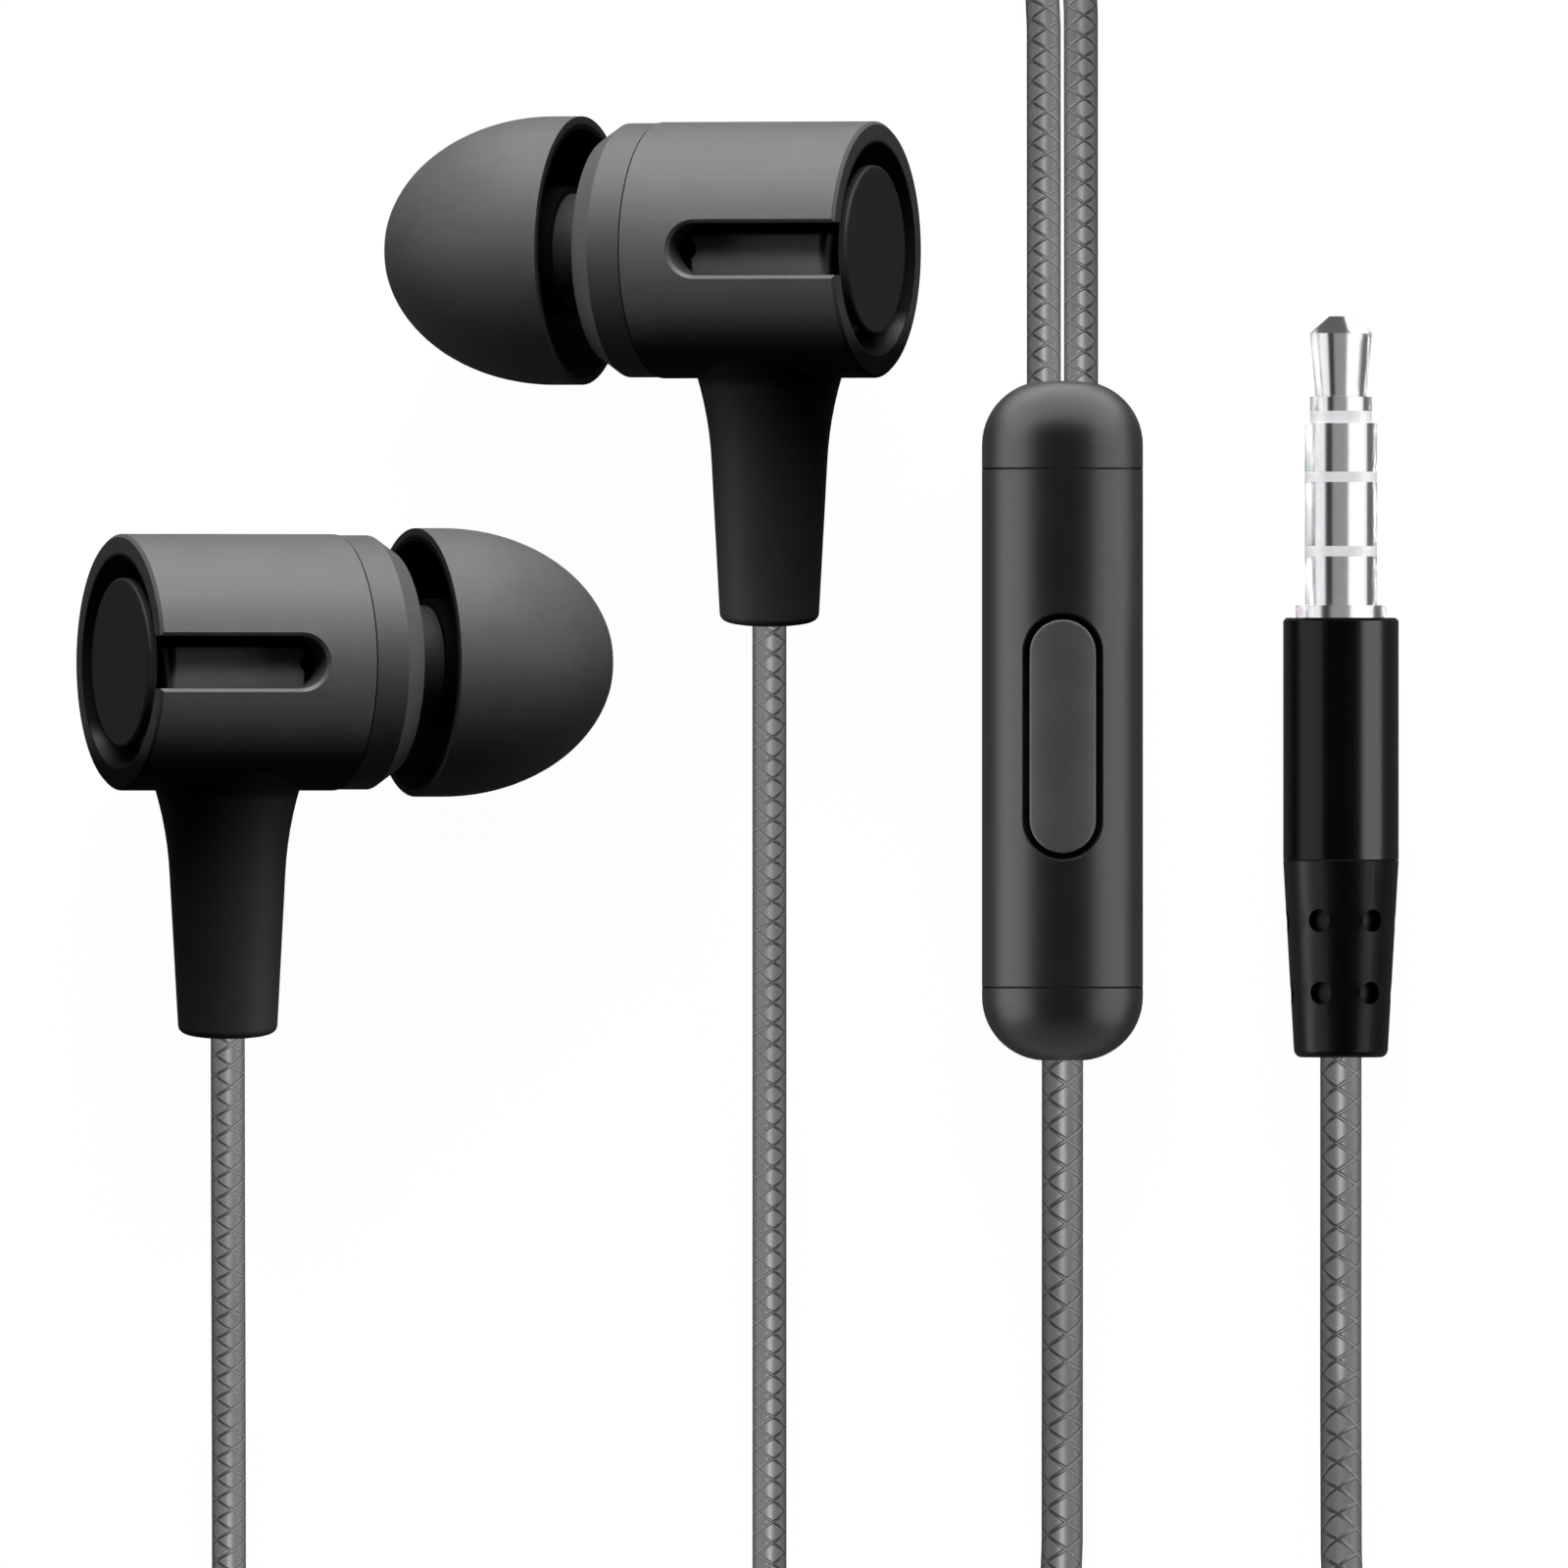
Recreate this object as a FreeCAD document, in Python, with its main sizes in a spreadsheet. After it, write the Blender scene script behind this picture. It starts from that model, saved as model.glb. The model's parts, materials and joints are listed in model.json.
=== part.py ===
import FreeCAD, Part
import math
import os
import re
import Sketcher

# Wired earphones, laid out on a flat surface: two in-ear pieces, a button pod where their cords
# join, and a four-pole plug. Millimetres, +Z up, the surface at z = 0. The origin is under the
# middle of the two earpieces.
# An earpiece is drawn with X along its barrel, from the back ring (x = 0) to the ear tip, and its
# stem towards -Z. The pod and the plug are drawn with X along their length and Z up.

SIZES = {
    # Clearances and small cuts
    "fit": 0.02,
    "running_fit": 0.04,
    "seam": 0.09,
    "seam_depth": 0.2,
    "overcut": 1.0,
    # Barrel of the earpiece
    "barrel_radius": 6.2,
    "barrel_length": 11.0,
    "rim_chamfer": 0.15,
    "ring_face": 1.05,
    "ring_depth": 0.9,
    "rear_bore": 4.45,
    "front_bore": 5.5,
    "front_bore_depth": 2.0,
    # Slot that opens the barrel's side, from the back ring forwards
    "slot_end_wall": 2.5,
    "slot_width": 2.55,
    "slot_chamfer": 0.17,
    "slot_turn": 8.0,
    # Stem, measured down from the barrel's axis
    "stem_position": 5.56,
    "stem_lean": 3.0,
    "stem_length": 18.1,
    "stem_end_radius": 2.39,
    "stem_taper": 7.7,
    "stem_taper_radius": 2.8,
    "stem_waist": 8.0,
    "stem_waist_radius": 3.07,
    "stem_root": 4.6,
    "stem_root_radius": 4.05,
    "stem_end_round": 0.4,
    "stem_cavity_radius": 1.4,
    "stem_lip": 2.6,
    # Rear chamber, the inner can seen through the slot
    "chamber_radius": 4.1,
    "chamber_wall": 0.6,
    "chamber_back": 1.35,
    "chamber_back_wall": 0.8,
    "chamber_flange": 0.5,
    "chamber_chamfer": 0.12,
    "vent_radius": 0.5,
    "vent_setback": 0.2,
    "wire_port_radius": 1.2,
    # Disc that closes the back
    "disc_recess": 0.05,
    "disc_thickness": 0.45,
    "disc_gap": 0.37,
    "disc_round": 0.15,
    "disc_peg_radius": 1.0,
    # Front shell with the nozzle
    "shell_radius": 6.15,
    "shell_band": 1.6,
    "shoulder_length": 1.05,
    "shoulder_radius": 5.43,
    "spigot_length": 1.05,
    "driver_seat": 1.24,
    "front_chamber_depth": 0.6,
    "front_chamber_radius": 4.3,
    "collar_radius": 2.75,
    "collar_length": 2.0,
    "neck_radius": 2.2,
    "nozzle_length": 3.8,
    "lip_radius": 2.5,
    "lip_length": 0.9,
    "lip_chamfer": 0.25,
    "sound_bore": 1.5,
    "mesh_radius": 1.85,
    "mesh_thickness": 0.25,
    "mesh_hole_radius": 0.22,
    "mesh_hole_circle": 0.95,
    # Silicone ear tip
    "tip_radius": 6.5,
    "tip_reach": 8.5,
    "tip_wall": 0.6,
    "tip_skirt": 1.4,
    "tip_nose": 8.0,
    "tip_recess": 0.5,
    "tip_sleeve_radius": 3.1,
    "tip_sound_bore": 1.9,
    "tip_nose_round": 0.12,
    # Driver capsule, measured forwards from its back
    "driver_radius": 5.0,
    "driver_wall": 0.4,
    "driver_depth": 2.74,
    "driver_floor": 0.45,
    "driver_vent_radius": 0.35,
    "driver_vent_circle": 3.95,
    "yoke_radius": 3.2,
    "yoke_wall": 0.35,
    "yoke_floor": 0.4,
    "yoke_depth": 1.53,
    "magnet_radius": 2.25,
    "magnet_thickness": 0.71,
    "plate_radius": 2.4,
    "voice_coil_inner": 2.5,
    "voice_coil_outer": 2.75,
    "voice_coil_start": 0.7,
    "diaphragm_seat": 1.95,
    "diaphragm_film": 0.15,
    "diaphragm_radius": 4.5,
    "dome_rise": 0.45,
    "surround_rise": 0.35,
    "board_radius": 3.3,
    "board_chord": 0.8,
    "board_thickness": 0.4,
    "solder_radius": 0.45,
    "solder_height": 0.12,
    "solder_spread": 1.4,
    # Cords and the knot that holds each one in its stem
    "branch_cord": 1.65,
    "main_cord": 2.0,
    "cord_clearance": 0.05,
    "knot_length": 2.6,
    "knot_round": 0.5,
    # Button pod
    "pod_radius": 3.9,
    "pod_length": 32.9,
    "pod_wall": 0.6,
    "pod_end_round": 3.1,
    "top_cap": 4.2,
    "bottom_cap": 3.5,
    "cap_spigot": 1.2,
    "pod_cord_spacing": 1.8,
    "pod_cord_depth": 3.2,
    "button_width": 3.2,
    "button_length": 11.3,
    "button_gap": 0.27,
    "button_offset": 0.75,
    "button_proud": 0.06,
    "button_round": 0.12,
    "button_flange": 0.35,
    "button_flange_top": 2.4,
    "button_flange_thickness": 0.5,
    "button_post_radius": 0.7,
    "opening_chamfer": 0.12,
    "board_length": 21.6,
    "board_width": 5.6,
    "board_height": 0.8,
    "board_top": -0.1,
    "switch_length": 3.6,
    "switch_width": 3.0,
    "switch_height": 1.0,
    "plunger_radius": 0.75,
    "plunger_height": 0.4,
    "plunger_depth": 0.45,
    "plunger_travel": 0.35,
    "plunger_play": 0.05,
    "microphone_position": 25.5,
    "microphone_radius": 2.0,
    "microphone_depth": 1.5,
    "gasket_radius": 1.2,
    "gasket_length": 0.6,
    "sound_hole_radius": 0.4,
    "chip_size": 2.2,
    "chip_height": 0.7,
    "chip_position": 7.2,
    # Plug, from the cord's end to the tip
    "relief_length": 9.5,
    "relief_end_radius": 2.26,
    "relief_round": 0.4,
    "relief_bore_depth": 3.0,
    "dimple_radius": 0.55,
    "dimple_depth": 0.6,
    "dimple_first": 3.12,
    "dimple_pitch": 3.51,
    "dimple_turn": 5.4,
    "grip_radius": 2.8,
    "grip_length": 11.7,
    "grip_wall": 0.7,
    "grip_chamfer": 0.15,
    "flange_length": 0.6,
    "flange_radius": 2.2,
    "pin_radius": 1.75,
    "pin_length": 14.0,
    "sleeve_length": 2.37,
    "insulator_length": 0.5,
    "ring_2_length": 3.1,
    "ring_1_length": 2.35,
    "tip_insulator_length": 0.6,
    "tip_collar_length": 0.68,
    "tip_collar_radius": 1.5,
    "tip_waist_radius": 1.23,
    "tip_bulge_radius": 1.5,
    "tip_bulge": 0.82,
    "tip_flat_radius": 0.56,
    "rod_radius": 0.4,
    "layer_wall": 0.2,
    "tail_step": 0.9,
    "tail_length": 4.6,
    # How the pieces lie
    "barrel_tilt": 20.5,
    "stem_droop": 8.0,
    "earpieces_apart": 26.2,
    "earpieces_stagger": 19.92,
    "pod_right": 27.28,
    "pod_top": 9.55,
    "plug_right": 40.77,
    "plug_bottom": -23.2,
    # Coils of the cord that is put away
    "left_coil_below": 61.3,
    "right_coil_below": 64.3,
    "main_coil_below": 65.5,
    "left_coil_radius": 8.25,
    "right_coil_radius": 9.6,
    "main_coil_radius": 10.7,
    "left_coil_turns": 4.5,
    "right_coil_turns": 2.25,
    "main_coil_turns": 9.667,
    "branch_coil_layers": 2,
    "main_coil_layers": 4,
    "main_coil_lean": 30,
    "coil_margin": 0.15,
    "coil_round": 0.6,
}

SIDES = {"left": -1, "right": 1}
WHOLE_TURN = 360

document = FreeCAD.newDocument("earphones")
dims = document.addObject("Spreadsheet::Sheet", "dims")
for row, (alias, size) in enumerate(SIZES.items(), 1):
    dims.set(f"A{row}", alias)
    dims.set(f"B{row}", str(size))
    dims.setAlias(f"B{row}", alias)
document.recompute()
nodes = []


# Expressions and sketches

def bound(text):
    """Puts the sheet's name before each size in an expression."""
    return re.sub(r"[a-z]\w*", lambda word: "dims." + word[0] if word[0] in SIZES else word[0], text)


def value(text):
    """Works out an expression of sizes as a number."""
    return float(dims.evalExpression(re.sub(r"dims\.", "", bound(text))))


def new_body(name):
    """Starts a sub-part."""
    body = document.addObject("PartDesign::Body", name)
    body.Label = name
    nodes.append(body)
    return body


def new_sketch(body, name, role, away="0"):
    """Starts a sketch on one of the body's origin planes, or at a distance in front of it."""
    sketch = body.newObject("Sketcher::SketchObject", name)
    planes = [item for item in body.Origin.OriginFeatures if item.Role == role]
    sketch.AttachmentSupport = [(planes[0], "")]
    sketch.MapMode = "FlatFace"
    sketch.setExpression("AttachmentOffset.Base.z", bound(away))
    return sketch


def pin_point(sketch, line, end, across, up):
    """Ties one end of a line to a place given by two expressions. None leaves that way free."""
    for direction, axis, text in (("DistanceX", -2, across), ("DistanceY", -1, up)):
        if text is None:
            continue
        if text == "0":
            sketch.addConstraint(Sketcher.Constraint("PointOnObject", line, end, axis))
            continue
        rule = Sketcher.Constraint(direction, -1, 1, line, end, value(text))
        number = sketch.addConstraint(rule)
        sketch.setExpression(f"Constraints[{number}]", bound(text))


def other_half(distance, half, other):
    """Gives the second coordinate of a point on an ellipse from its first one."""
    return other * math.sqrt(1 - (distance / half) ** 2)


def ellipse_side(sketch, start, finish, centre, reach, radius):
    """Adds a stretch of an ellipse whose centre lies on the X axis, with both its axes bound."""
    middle, long_half, short_half = value(centre), value(reach), value(radius)
    angles = [math.acos((point.x - middle) / long_half) for point in (start, finish)]
    ellipse = Part.Ellipse(FreeCAD.Vector(middle, 0, 0), long_half, short_half)
    arc = sketch.addGeometry(Part.ArcOfEllipse(ellipse, min(angles), max(angles)), False)
    sketch.exposeInternalGeometry(arc)
    pin_point(sketch, arc, 3, centre, "0")
    sketch.addConstraint(Sketcher.Constraint("PointOnObject", arc + 1, 1, -1))
    for line, half in ((arc + 1, reach), (arc + 2, radius)):
        number = sketch.addConstraint(Sketcher.Constraint("Distance", line, 2 * value(half)))
        sketch.setExpression(f"Constraints[{number}]", bound(f"2 * ({half})"))
    return arc


def arc_side(sketch, start, finish, across, up):
    """Adds an arc from one corner to the next through a place given by two expressions."""
    through = FreeCAD.Vector(value(across), value(up), 0)
    arc = sketch.addGeometry(Part.Arc(start, through, finish), False)
    guide = sketch.addGeometry(Part.Point(through), True)
    pin_point(sketch, guide, 1, across, up)
    sketch.addConstraint(Sketcher.Constraint("PointOnObject", guide, 1, arc))
    return arc


def draw_outline(sketch, corners, arcs=None, ellipses=None):
    """Draws a closed outline. arcs and ellipses name the sides that aren't straight by number.

    A corner on an ellipse gives one place only, and the ellipse settles the other.
    """
    arcs = arcs or {}
    ellipses = ellipses or {}
    places = []
    for number, (across, up) in enumerate(corners):
        ellipse = ellipses.get(number) or ellipses.get(number - 1)
        if across is None:
            place = value(ellipse[0]) + other_half(value(up), value(ellipse[2]), value(ellipse[1]))
            places.append(FreeCAD.Vector(place, value(up), 0))
        elif up is None:
            along = value(across) - value(ellipse[0])
            height = other_half(along, value(ellipse[1]), value(ellipse[2]))
            places.append(FreeCAD.Vector(value(across), height, 0))
        else:
            places.append(FreeCAD.Vector(value(across), value(up), 0))
    sides = []
    for number, start in enumerate(places):
        finish = places[(number + 1) % len(places)]
        if number in arcs:
            side = arc_side(sketch, start, finish, *arcs[number])
        elif number in ellipses:
            side = ellipse_side(sketch, start, finish, *ellipses[number])
        else:
            side = sketch.addGeometry(Part.LineSegment(start, finish), False)
        near, far = (sketch.getPoint(side, end).distanceToPoint(start) for end in (1, 2))
        sides.append((side, 1, 2) if near < far else (side, 2, 1))
    for number, (side, start, finish) in enumerate(sides):
        following = sides[(number + 1) % len(sides)]
        sketch.addConstraint(Sketcher.Constraint("Coincident", side, finish, following[0], following[1]))
        pin_point(sketch, side, start, *corners[number])


def draw_circle(sketch, across, up, radius):
    """Draws a circle with its centre and radius bound."""
    centre = FreeCAD.Vector(value(across), value(up), 0)
    circle = sketch.addGeometry(Part.Circle(centre, FreeCAD.Vector(0, 0, 1), value(radius)), False)
    pin_point(sketch, circle, 3, across, up)
    number = sketch.addConstraint(Sketcher.Constraint("Radius", circle, value(radius)))
    sketch.setExpression(f"Constraints[{number}]", bound(radius))


def draw_stadium(sketch, middle, length, width):
    """Draws a slot with round ends along X, centred across it."""
    flat = f"(({length}) - ({width})) / 2"
    left, right, half = f"{middle} - {flat}", f"{middle} + {flat}", f"({width}) / 2"
    corners = [(left, f"-{half}"), (right, f"-{half}"), (right, half), (left, half)]
    ends = {1: (f"{middle} + ({length}) / 2", "0"), 3: (f"{middle} - ({length}) / 2", "0")}
    draw_outline(sketch, corners, ends)


# Features

def turn_outline(body, name, corners, arcs=None, ellipses=None, kind="Revolution"):
    """Turns an outline of (place along X, radius) corners about the X axis."""
    sketch = new_sketch(body, name + "_outline", "XZ_Plane")
    draw_outline(sketch, corners, arcs, ellipses)
    feature = body.newObject("PartDesign::" + kind, name)
    feature.Profile = sketch
    feature.ReferenceAxis = (sketch, ["H_Axis"])
    feature.Angle = WHOLE_TURN
    return feature


def turned(name, corners, arcs=None, ellipses=None):
    """Makes a sub-part that is one turned outline."""
    body = new_body(name)
    turn_outline(body, name + "_turned", corners, arcs, ellipses)
    return body


def push(body, name, sketch, depth, kind="Pocket", reversed_way=False):
    """Pads or pockets a sketch by a bound depth, and makes sure that it changed the solid."""
    document.recompute()
    before = body.Shape.Volume if body.Tip and not body.Shape.isNull() else 0
    feature = body.newObject("PartDesign::" + kind, name)
    feature.Profile = sketch
    feature.Reversed = reversed_way
    feature.setExpression("Length", bound(depth))
    document.recompute()
    if abs(body.Shape.Volume - before) < 1e-6:
        raise ValueError(f"{name} changed nothing")
    return feature


def dress(body, name, size, picks, kind="Fillet"):
    """Rounds or chamfers the edges of the body so far that a test picks."""
    document.recompute()
    base = body.Tip
    chosen = [f"Edge{number}" for number, edge in enumerate(base.Shape.Edges, 1) if picks(edge)]
    feature = body.newObject("PartDesign::" + kind, name)
    feature.Base = (base, chosen)
    feature.setExpression("Radius" if kind == "Fillet" else "Size", bound(size))
    return feature


def is_circle(along, radius):
    """Tests for the circle round the X axis at a place along it."""
    place, size = value(along), value(radius)

    def test(edge):
        curve = edge.Curve
        return (isinstance(curve, Part.Circle) and abs(curve.Radius - size) < 1e-4
                and abs(curve.Center.x - place) < 1e-4)
    return test


def lies_on_cylinder(radius, test_point):
    """Tests for an edge that lies on a cylinder round the X axis, where a point test holds."""
    size = value(radius)

    def test(edge):
        points = edge.discretize(5)
        on_wall = all(abs(math.hypot(point.y, point.z) - size) < 1e-3 for point in points)
        return on_wall and all(test_point(point) for point in points)
    return test


def ring_of_holes(body, name, sketch, depth, count, reversed_way=False):
    """Cuts one hole and repeats it about the X axis."""
    hole = push(body, name + "_first", sketch, depth, "Pocket", reversed_way)
    pattern = body.newObject("PartDesign::PolarPattern", name)
    pattern.Originals = [hole]
    axes = [item for item in body.Origin.OriginFeatures if item.Role == "X_Axis"]
    pattern.Axis = (axes[0], [""])
    pattern.Angle = WHOLE_TURN
    pattern.Occurrences = count
    body.Tip = pattern
    return pattern


# Earpiece

def stem_sketch(body, name):
    """Starts a sketch whose Y axis runs down the middle of the leaning stem."""
    sketch = new_sketch(body, name, "XZ_Plane")
    sketch.setExpression("AttachmentOffset.Base.x", bound("stem_position"))
    sketch.AttachmentOffset = FreeCAD.Placement(
        FreeCAD.Vector(value("stem_position"), 0, 0),
        FreeCAD.Rotation(FreeCAD.Vector(0, 0, 1), 180 + value("stem_lean")))
    sketch.setExpression("AttachmentOffset.Rotation.Angle", bound("180 + stem_lean"))
    return sketch


def turn_on_stem(body, name, corners, arcs=None, kind="Revolution"):
    """Turns an outline of (radius, place down the stem) corners about the stem's axis."""
    sketch = stem_sketch(body, name + "_outline")
    draw_outline(sketch, corners, arcs)
    feature = body.newObject("PartDesign::" + kind, name)
    feature.Profile = sketch
    feature.ReferenceAxis = (sketch, ["V_Axis"])
    feature.Angle = WHOLE_TURN
    return feature


def front_step():
    """Place along the barrel where its wider front bore begins."""
    return "(barrel_length - front_bore_depth)"


def slot_end():
    """Place along the barrel where the slot ends."""
    return "(barrel_length - slot_end_wall)"


def slot_sketch(body, name, side):
    """Starts a sketch that faces the slot, which is turned a little away from the stem."""
    sketch = new_sketch(body, name, "XZ_Plane")
    sketch.AttachmentOffset = FreeCAD.Placement(
        FreeCAD.Vector(), FreeCAD.Rotation(FreeCAD.Vector(1, 0, 0), SIDES[side] * value("slot_turn")))
    sketch.setExpression("AttachmentOffset.Rotation.Angle", bound(f"{SIDES[side]} * slot_turn"))
    return sketch


def beside_slot(side):
    """Test for points of the barrel's skin that lie on the slot's edges."""
    turn = math.radians(value("slot_turn"))
    middle = FreeCAD.Vector(0, SIDES[side] * math.cos(turn), math.sin(turn))
    across = FreeCAD.Vector(0, -SIDES[side] * math.sin(turn), math.cos(turn))
    half = value("slot_width / 2") + 1e-3
    return lambda point: abs(point.dot(across)) < half and point.dot(middle) > 0


def housing(side):
    """Barrel and flared stem in one moulding, with the slot on the side that faces up."""
    body = new_body(side + "_housing")
    turn_outline(body, side + "_barrel", [
        ("0", "0"),
        ("0", "barrel_radius - rim_chamfer"),
        ("rim_chamfer", "barrel_radius"),
        ("barrel_length", "barrel_radius"),
        ("barrel_length", "0"),
    ])
    turn_on_stem(body, side + "_stem", [
        ("0", "stem_root"),
        ("stem_root_radius", "stem_root"),
        ("stem_taper_radius", "stem_length - stem_taper"),
        ("stem_end_radius", "stem_length"),
        ("0", "stem_length"),
    ], {1: ("stem_waist_radius", "stem_waist")})
    end_radius = value("stem_end_radius")
    dress(body, side + "_stem_end", "stem_end_round", lambda edge: isinstance(edge.Curve, Part.Circle)
          and abs(edge.Curve.Radius - end_radius) < 1e-4)
    turn_outline(body, side + "_barrel_bore", [
        ("0", "0"),
        ("0", "barrel_radius - ring_face"),
        ("ring_depth", "rear_bore"),
        (front_step(), "rear_bore"),
        (front_step(), "front_bore"),
        ("barrel_length", "front_bore"),
        ("barrel_length", "0"),
    ], kind="Groove")
    cord_bore = "branch_cord / 2 + cord_clearance"
    turn_on_stem(body, side + "_cord_passage", [
        ("0", "rear_bore - overcut"),
        ("stem_cavity_radius", "rear_bore - overcut"),
        ("stem_cavity_radius", "stem_length - stem_lip"),
        (cord_bore, "stem_length - stem_lip"),
        (cord_bore, "stem_length + overcut"),
        ("0", "stem_length + overcut"),
    ], kind="Groove")
    slot = slot_sketch(body, side + "_slot_outline", side)
    draw_outline(slot, [
        ("-overcut", "-slot_width / 2"),
        (f"{slot_end()} - slot_width / 2", "-slot_width / 2"),
        (f"{slot_end()} - slot_width / 2", "slot_width / 2"),
        ("-overcut", "slot_width / 2"),
    ], {1: (slot_end(), "0")})
    push(body, side + "_slot", slot, "barrel_radius + overcut", reversed_way=side == "left")
    dress(body, side + "_slot_edge", "slot_chamfer",
          lies_on_cylinder("barrel_radius", beside_slot(side)), "Chamfer")
    return body


def rear_chamber(side):
    """Closed can behind the driver, with its flange, the disc's hole, a vent and a wire port."""
    body = new_body(side + "_rear_chamber")
    inside = "chamber_radius - chamber_wall"
    back_wall = "chamber_back + chamber_back_wall"
    flange = f"{front_step()} + fit"
    hole = "disc_peg_radius + fit"
    turn_outline(body, side + "_chamber", [
        ("chamber_back", hole),
        ("chamber_back", "chamber_radius - chamber_chamfer"),
        ("chamber_back + chamber_chamfer", "chamber_radius"),
        (flange, "chamber_radius"),
        (flange, "front_bore - fit"),
        (f"{flange} + chamber_flange", "front_bore - fit"),
        (f"{flange} + chamber_flange", inside),
        (back_wall, inside),
        (back_wall, hole),
    ])
    vent = slot_sketch(body, side + "_vent_outline", side)
    draw_circle(vent, f"{slot_end()} - vent_setback", "0", "vent_radius")
    push(body, side + "_vent", vent, "chamber_radius + overcut", reversed_way=side == "left")
    port = new_sketch(body, side + "_wire_port_outline", "XY_Plane")
    draw_circle(port, "stem_position", "0", "wire_port_radius")
    push(body, side + "_wire_port", port, "chamber_radius + overcut")
    return body


def back_disc(side):
    """Flat disc in the back ring, with a peg into the rear chamber."""
    radius = "rear_bore - disc_gap"
    behind = "disc_recess + disc_thickness"
    body = turned(side + "_back_disc", [
        ("disc_recess", "0"),
        ("disc_recess", radius),
        (behind, radius),
        (behind, "disc_peg_radius"),
        ("chamber_back + chamber_back_wall", "disc_peg_radius"),
        ("chamber_back + chamber_back_wall", "0"),
    ])
    dress(body, side + "_disc_edge", "disc_round", is_circle("disc_recess", radius))
    return body


def front_shell(side):
    """Band that closes the barrel's front, with the shoulder, the nozzle and the driver's seat."""
    start = "barrel_length + seam"
    shoulder = f"{start} + shell_band"
    face = f"{shoulder} + shoulder_length"
    collar = f"{face} + collar_length"
    nozzle = f"{collar} + nozzle_length"
    seat = f"{start} + driver_seat"
    chamber = f"{seat} + front_chamber_depth"
    return turned(side + "_front_shell", [
        ("barrel_length - spigot_length", "front_bore - running_fit"),
        ("barrel_length", "front_bore - running_fit"),
        ("barrel_length", "shell_radius - seam_depth"),
        (start, "shell_radius - seam_depth"),
        (start, "shell_radius"),
        (shoulder, "shell_radius"),
        (face, "shoulder_radius"),
        (face, "collar_radius"),
        (collar, "collar_radius"),
        (collar, "neck_radius"),
        (f"{nozzle} - lip_length", "neck_radius"),
        (f"{nozzle} - lip_length", "lip_radius"),
        (f"{nozzle} - lip_chamfer", "lip_radius"),
        (nozzle, "lip_radius - lip_chamfer"),
        (nozzle, "mesh_radius + fit"),
        (f"{nozzle} - mesh_thickness - fit", "mesh_radius + fit"),
        (f"{nozzle} - mesh_thickness - fit", "sound_bore"),
        (chamber, "sound_bore"),
        (chamber, "front_chamber_radius"),
        (seat, "front_chamber_radius"),
        (seat, "driver_radius + running_fit"),
        ("barrel_length - spigot_length", "driver_radius + running_fit"),
    ])


def nozzle_end():
    """Place of the nozzle's end along the barrel."""
    return "barrel_length + seam + shell_band + shoulder_length + collar_length + nozzle_length"


def nozzle_mesh(side):
    """Perforated screen in the nozzle's mouth."""
    back = f"{nozzle_end()} - mesh_thickness"
    body = new_body(side + "_nozzle_mesh")
    turn_outline(body, side + "_screen", [
        (back, "0"), (back, "mesh_radius"), (nozzle_end(), "mesh_radius"), (nozzle_end(), "0")])
    middle = new_sketch(body, side + "_middle_hole_outline", "YZ_Plane", nozzle_end())
    draw_circle(middle, "0", "0", "mesh_hole_radius")
    push(body, side + "_middle_hole", middle, "mesh_thickness + overcut")
    hole = new_sketch(body, side + "_mesh_hole_outline", "YZ_Plane", nozzle_end())
    draw_circle(hole, "mesh_hole_circle", "0", "mesh_hole_radius")
    ring_of_holes(body, side + "_mesh_holes", hole, "mesh_thickness + overcut", 6)
    return body


def tip_equator():
    """Place along the barrel where the ear tip's dome begins."""
    return f"{nozzle_end()} - nozzle_length - tip_recess + tip_skirt"


def ear_tip(side):
    """Silicone tip: an egg-shaped dome turned back over its own sleeve, open towards the barrel."""
    equator = tip_equator()
    rim = f"{equator} - tip_skirt"
    sleeve = f"{nozzle_end()} - nozzle_length + fit"
    nose = f"{equator} + tip_nose"
    bore = "lip_radius + running_fit"
    inner_reach, inner_radius = "tip_reach - tip_wall", "tip_radius - tip_wall"
    step = f"{nozzle_end()} + lip_chamfer"
    body = new_body(side + "_ear_tip")
    turn_outline(body, side + "_tip", [
        (rim, inner_radius),
        (rim, "tip_radius"),
        (equator, None),
        (nose, None),
        (nose, "tip_sound_bore"),
        (step, "tip_sound_bore"),
        (step, bore),
        (sleeve, bore),
        (sleeve, "tip_sleeve_radius"),
        (None, "tip_sleeve_radius"),
        (equator, None),
    ], ellipses={2: (equator, "tip_reach", "tip_radius"), 9: (equator, inner_reach, inner_radius)})
    return body


def driver_start():
    """Place of the driver capsule's back along the barrel."""
    return f"({front_step()} + chamber_flange + 2 * fit)"


def driver_frame(side):
    """Cup that carries the driver, with a hole for the yoke and a ring of vents."""
    start = driver_start()
    inside = "driver_radius - driver_wall"
    body = new_body(side + "_driver_frame")
    turn_outline(body, side + "_frame", [
        (start, "yoke_radius + fit"),
        (start, "driver_radius"),
        (f"{start} + driver_depth", "driver_radius"),
        (f"{start} + driver_depth", inside),
        (f"{start} + driver_floor", inside),
        (f"{start} + driver_floor", "yoke_radius + fit"),
    ])
    vent = new_sketch(body, side + "_frame_vent_outline", "YZ_Plane", f"{start} + driver_floor")
    draw_circle(vent, "driver_vent_circle", "0", "driver_vent_radius")
    ring_of_holes(body, side + "_frame_vents", vent, "driver_floor + overcut", 6)
    return body


def yoke(side):
    """Steel pot round the magnet."""
    start = driver_start()
    return turned(side + "_yoke", [
        (start, "0"),
        (start, "yoke_radius"),
        (f"{start} + yoke_depth", "yoke_radius"),
        (f"{start} + yoke_depth", "yoke_radius - yoke_wall"),
        (f"{start} + yoke_floor", "yoke_radius - yoke_wall"),
        (f"{start} + yoke_floor", "0"),
    ])


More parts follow.
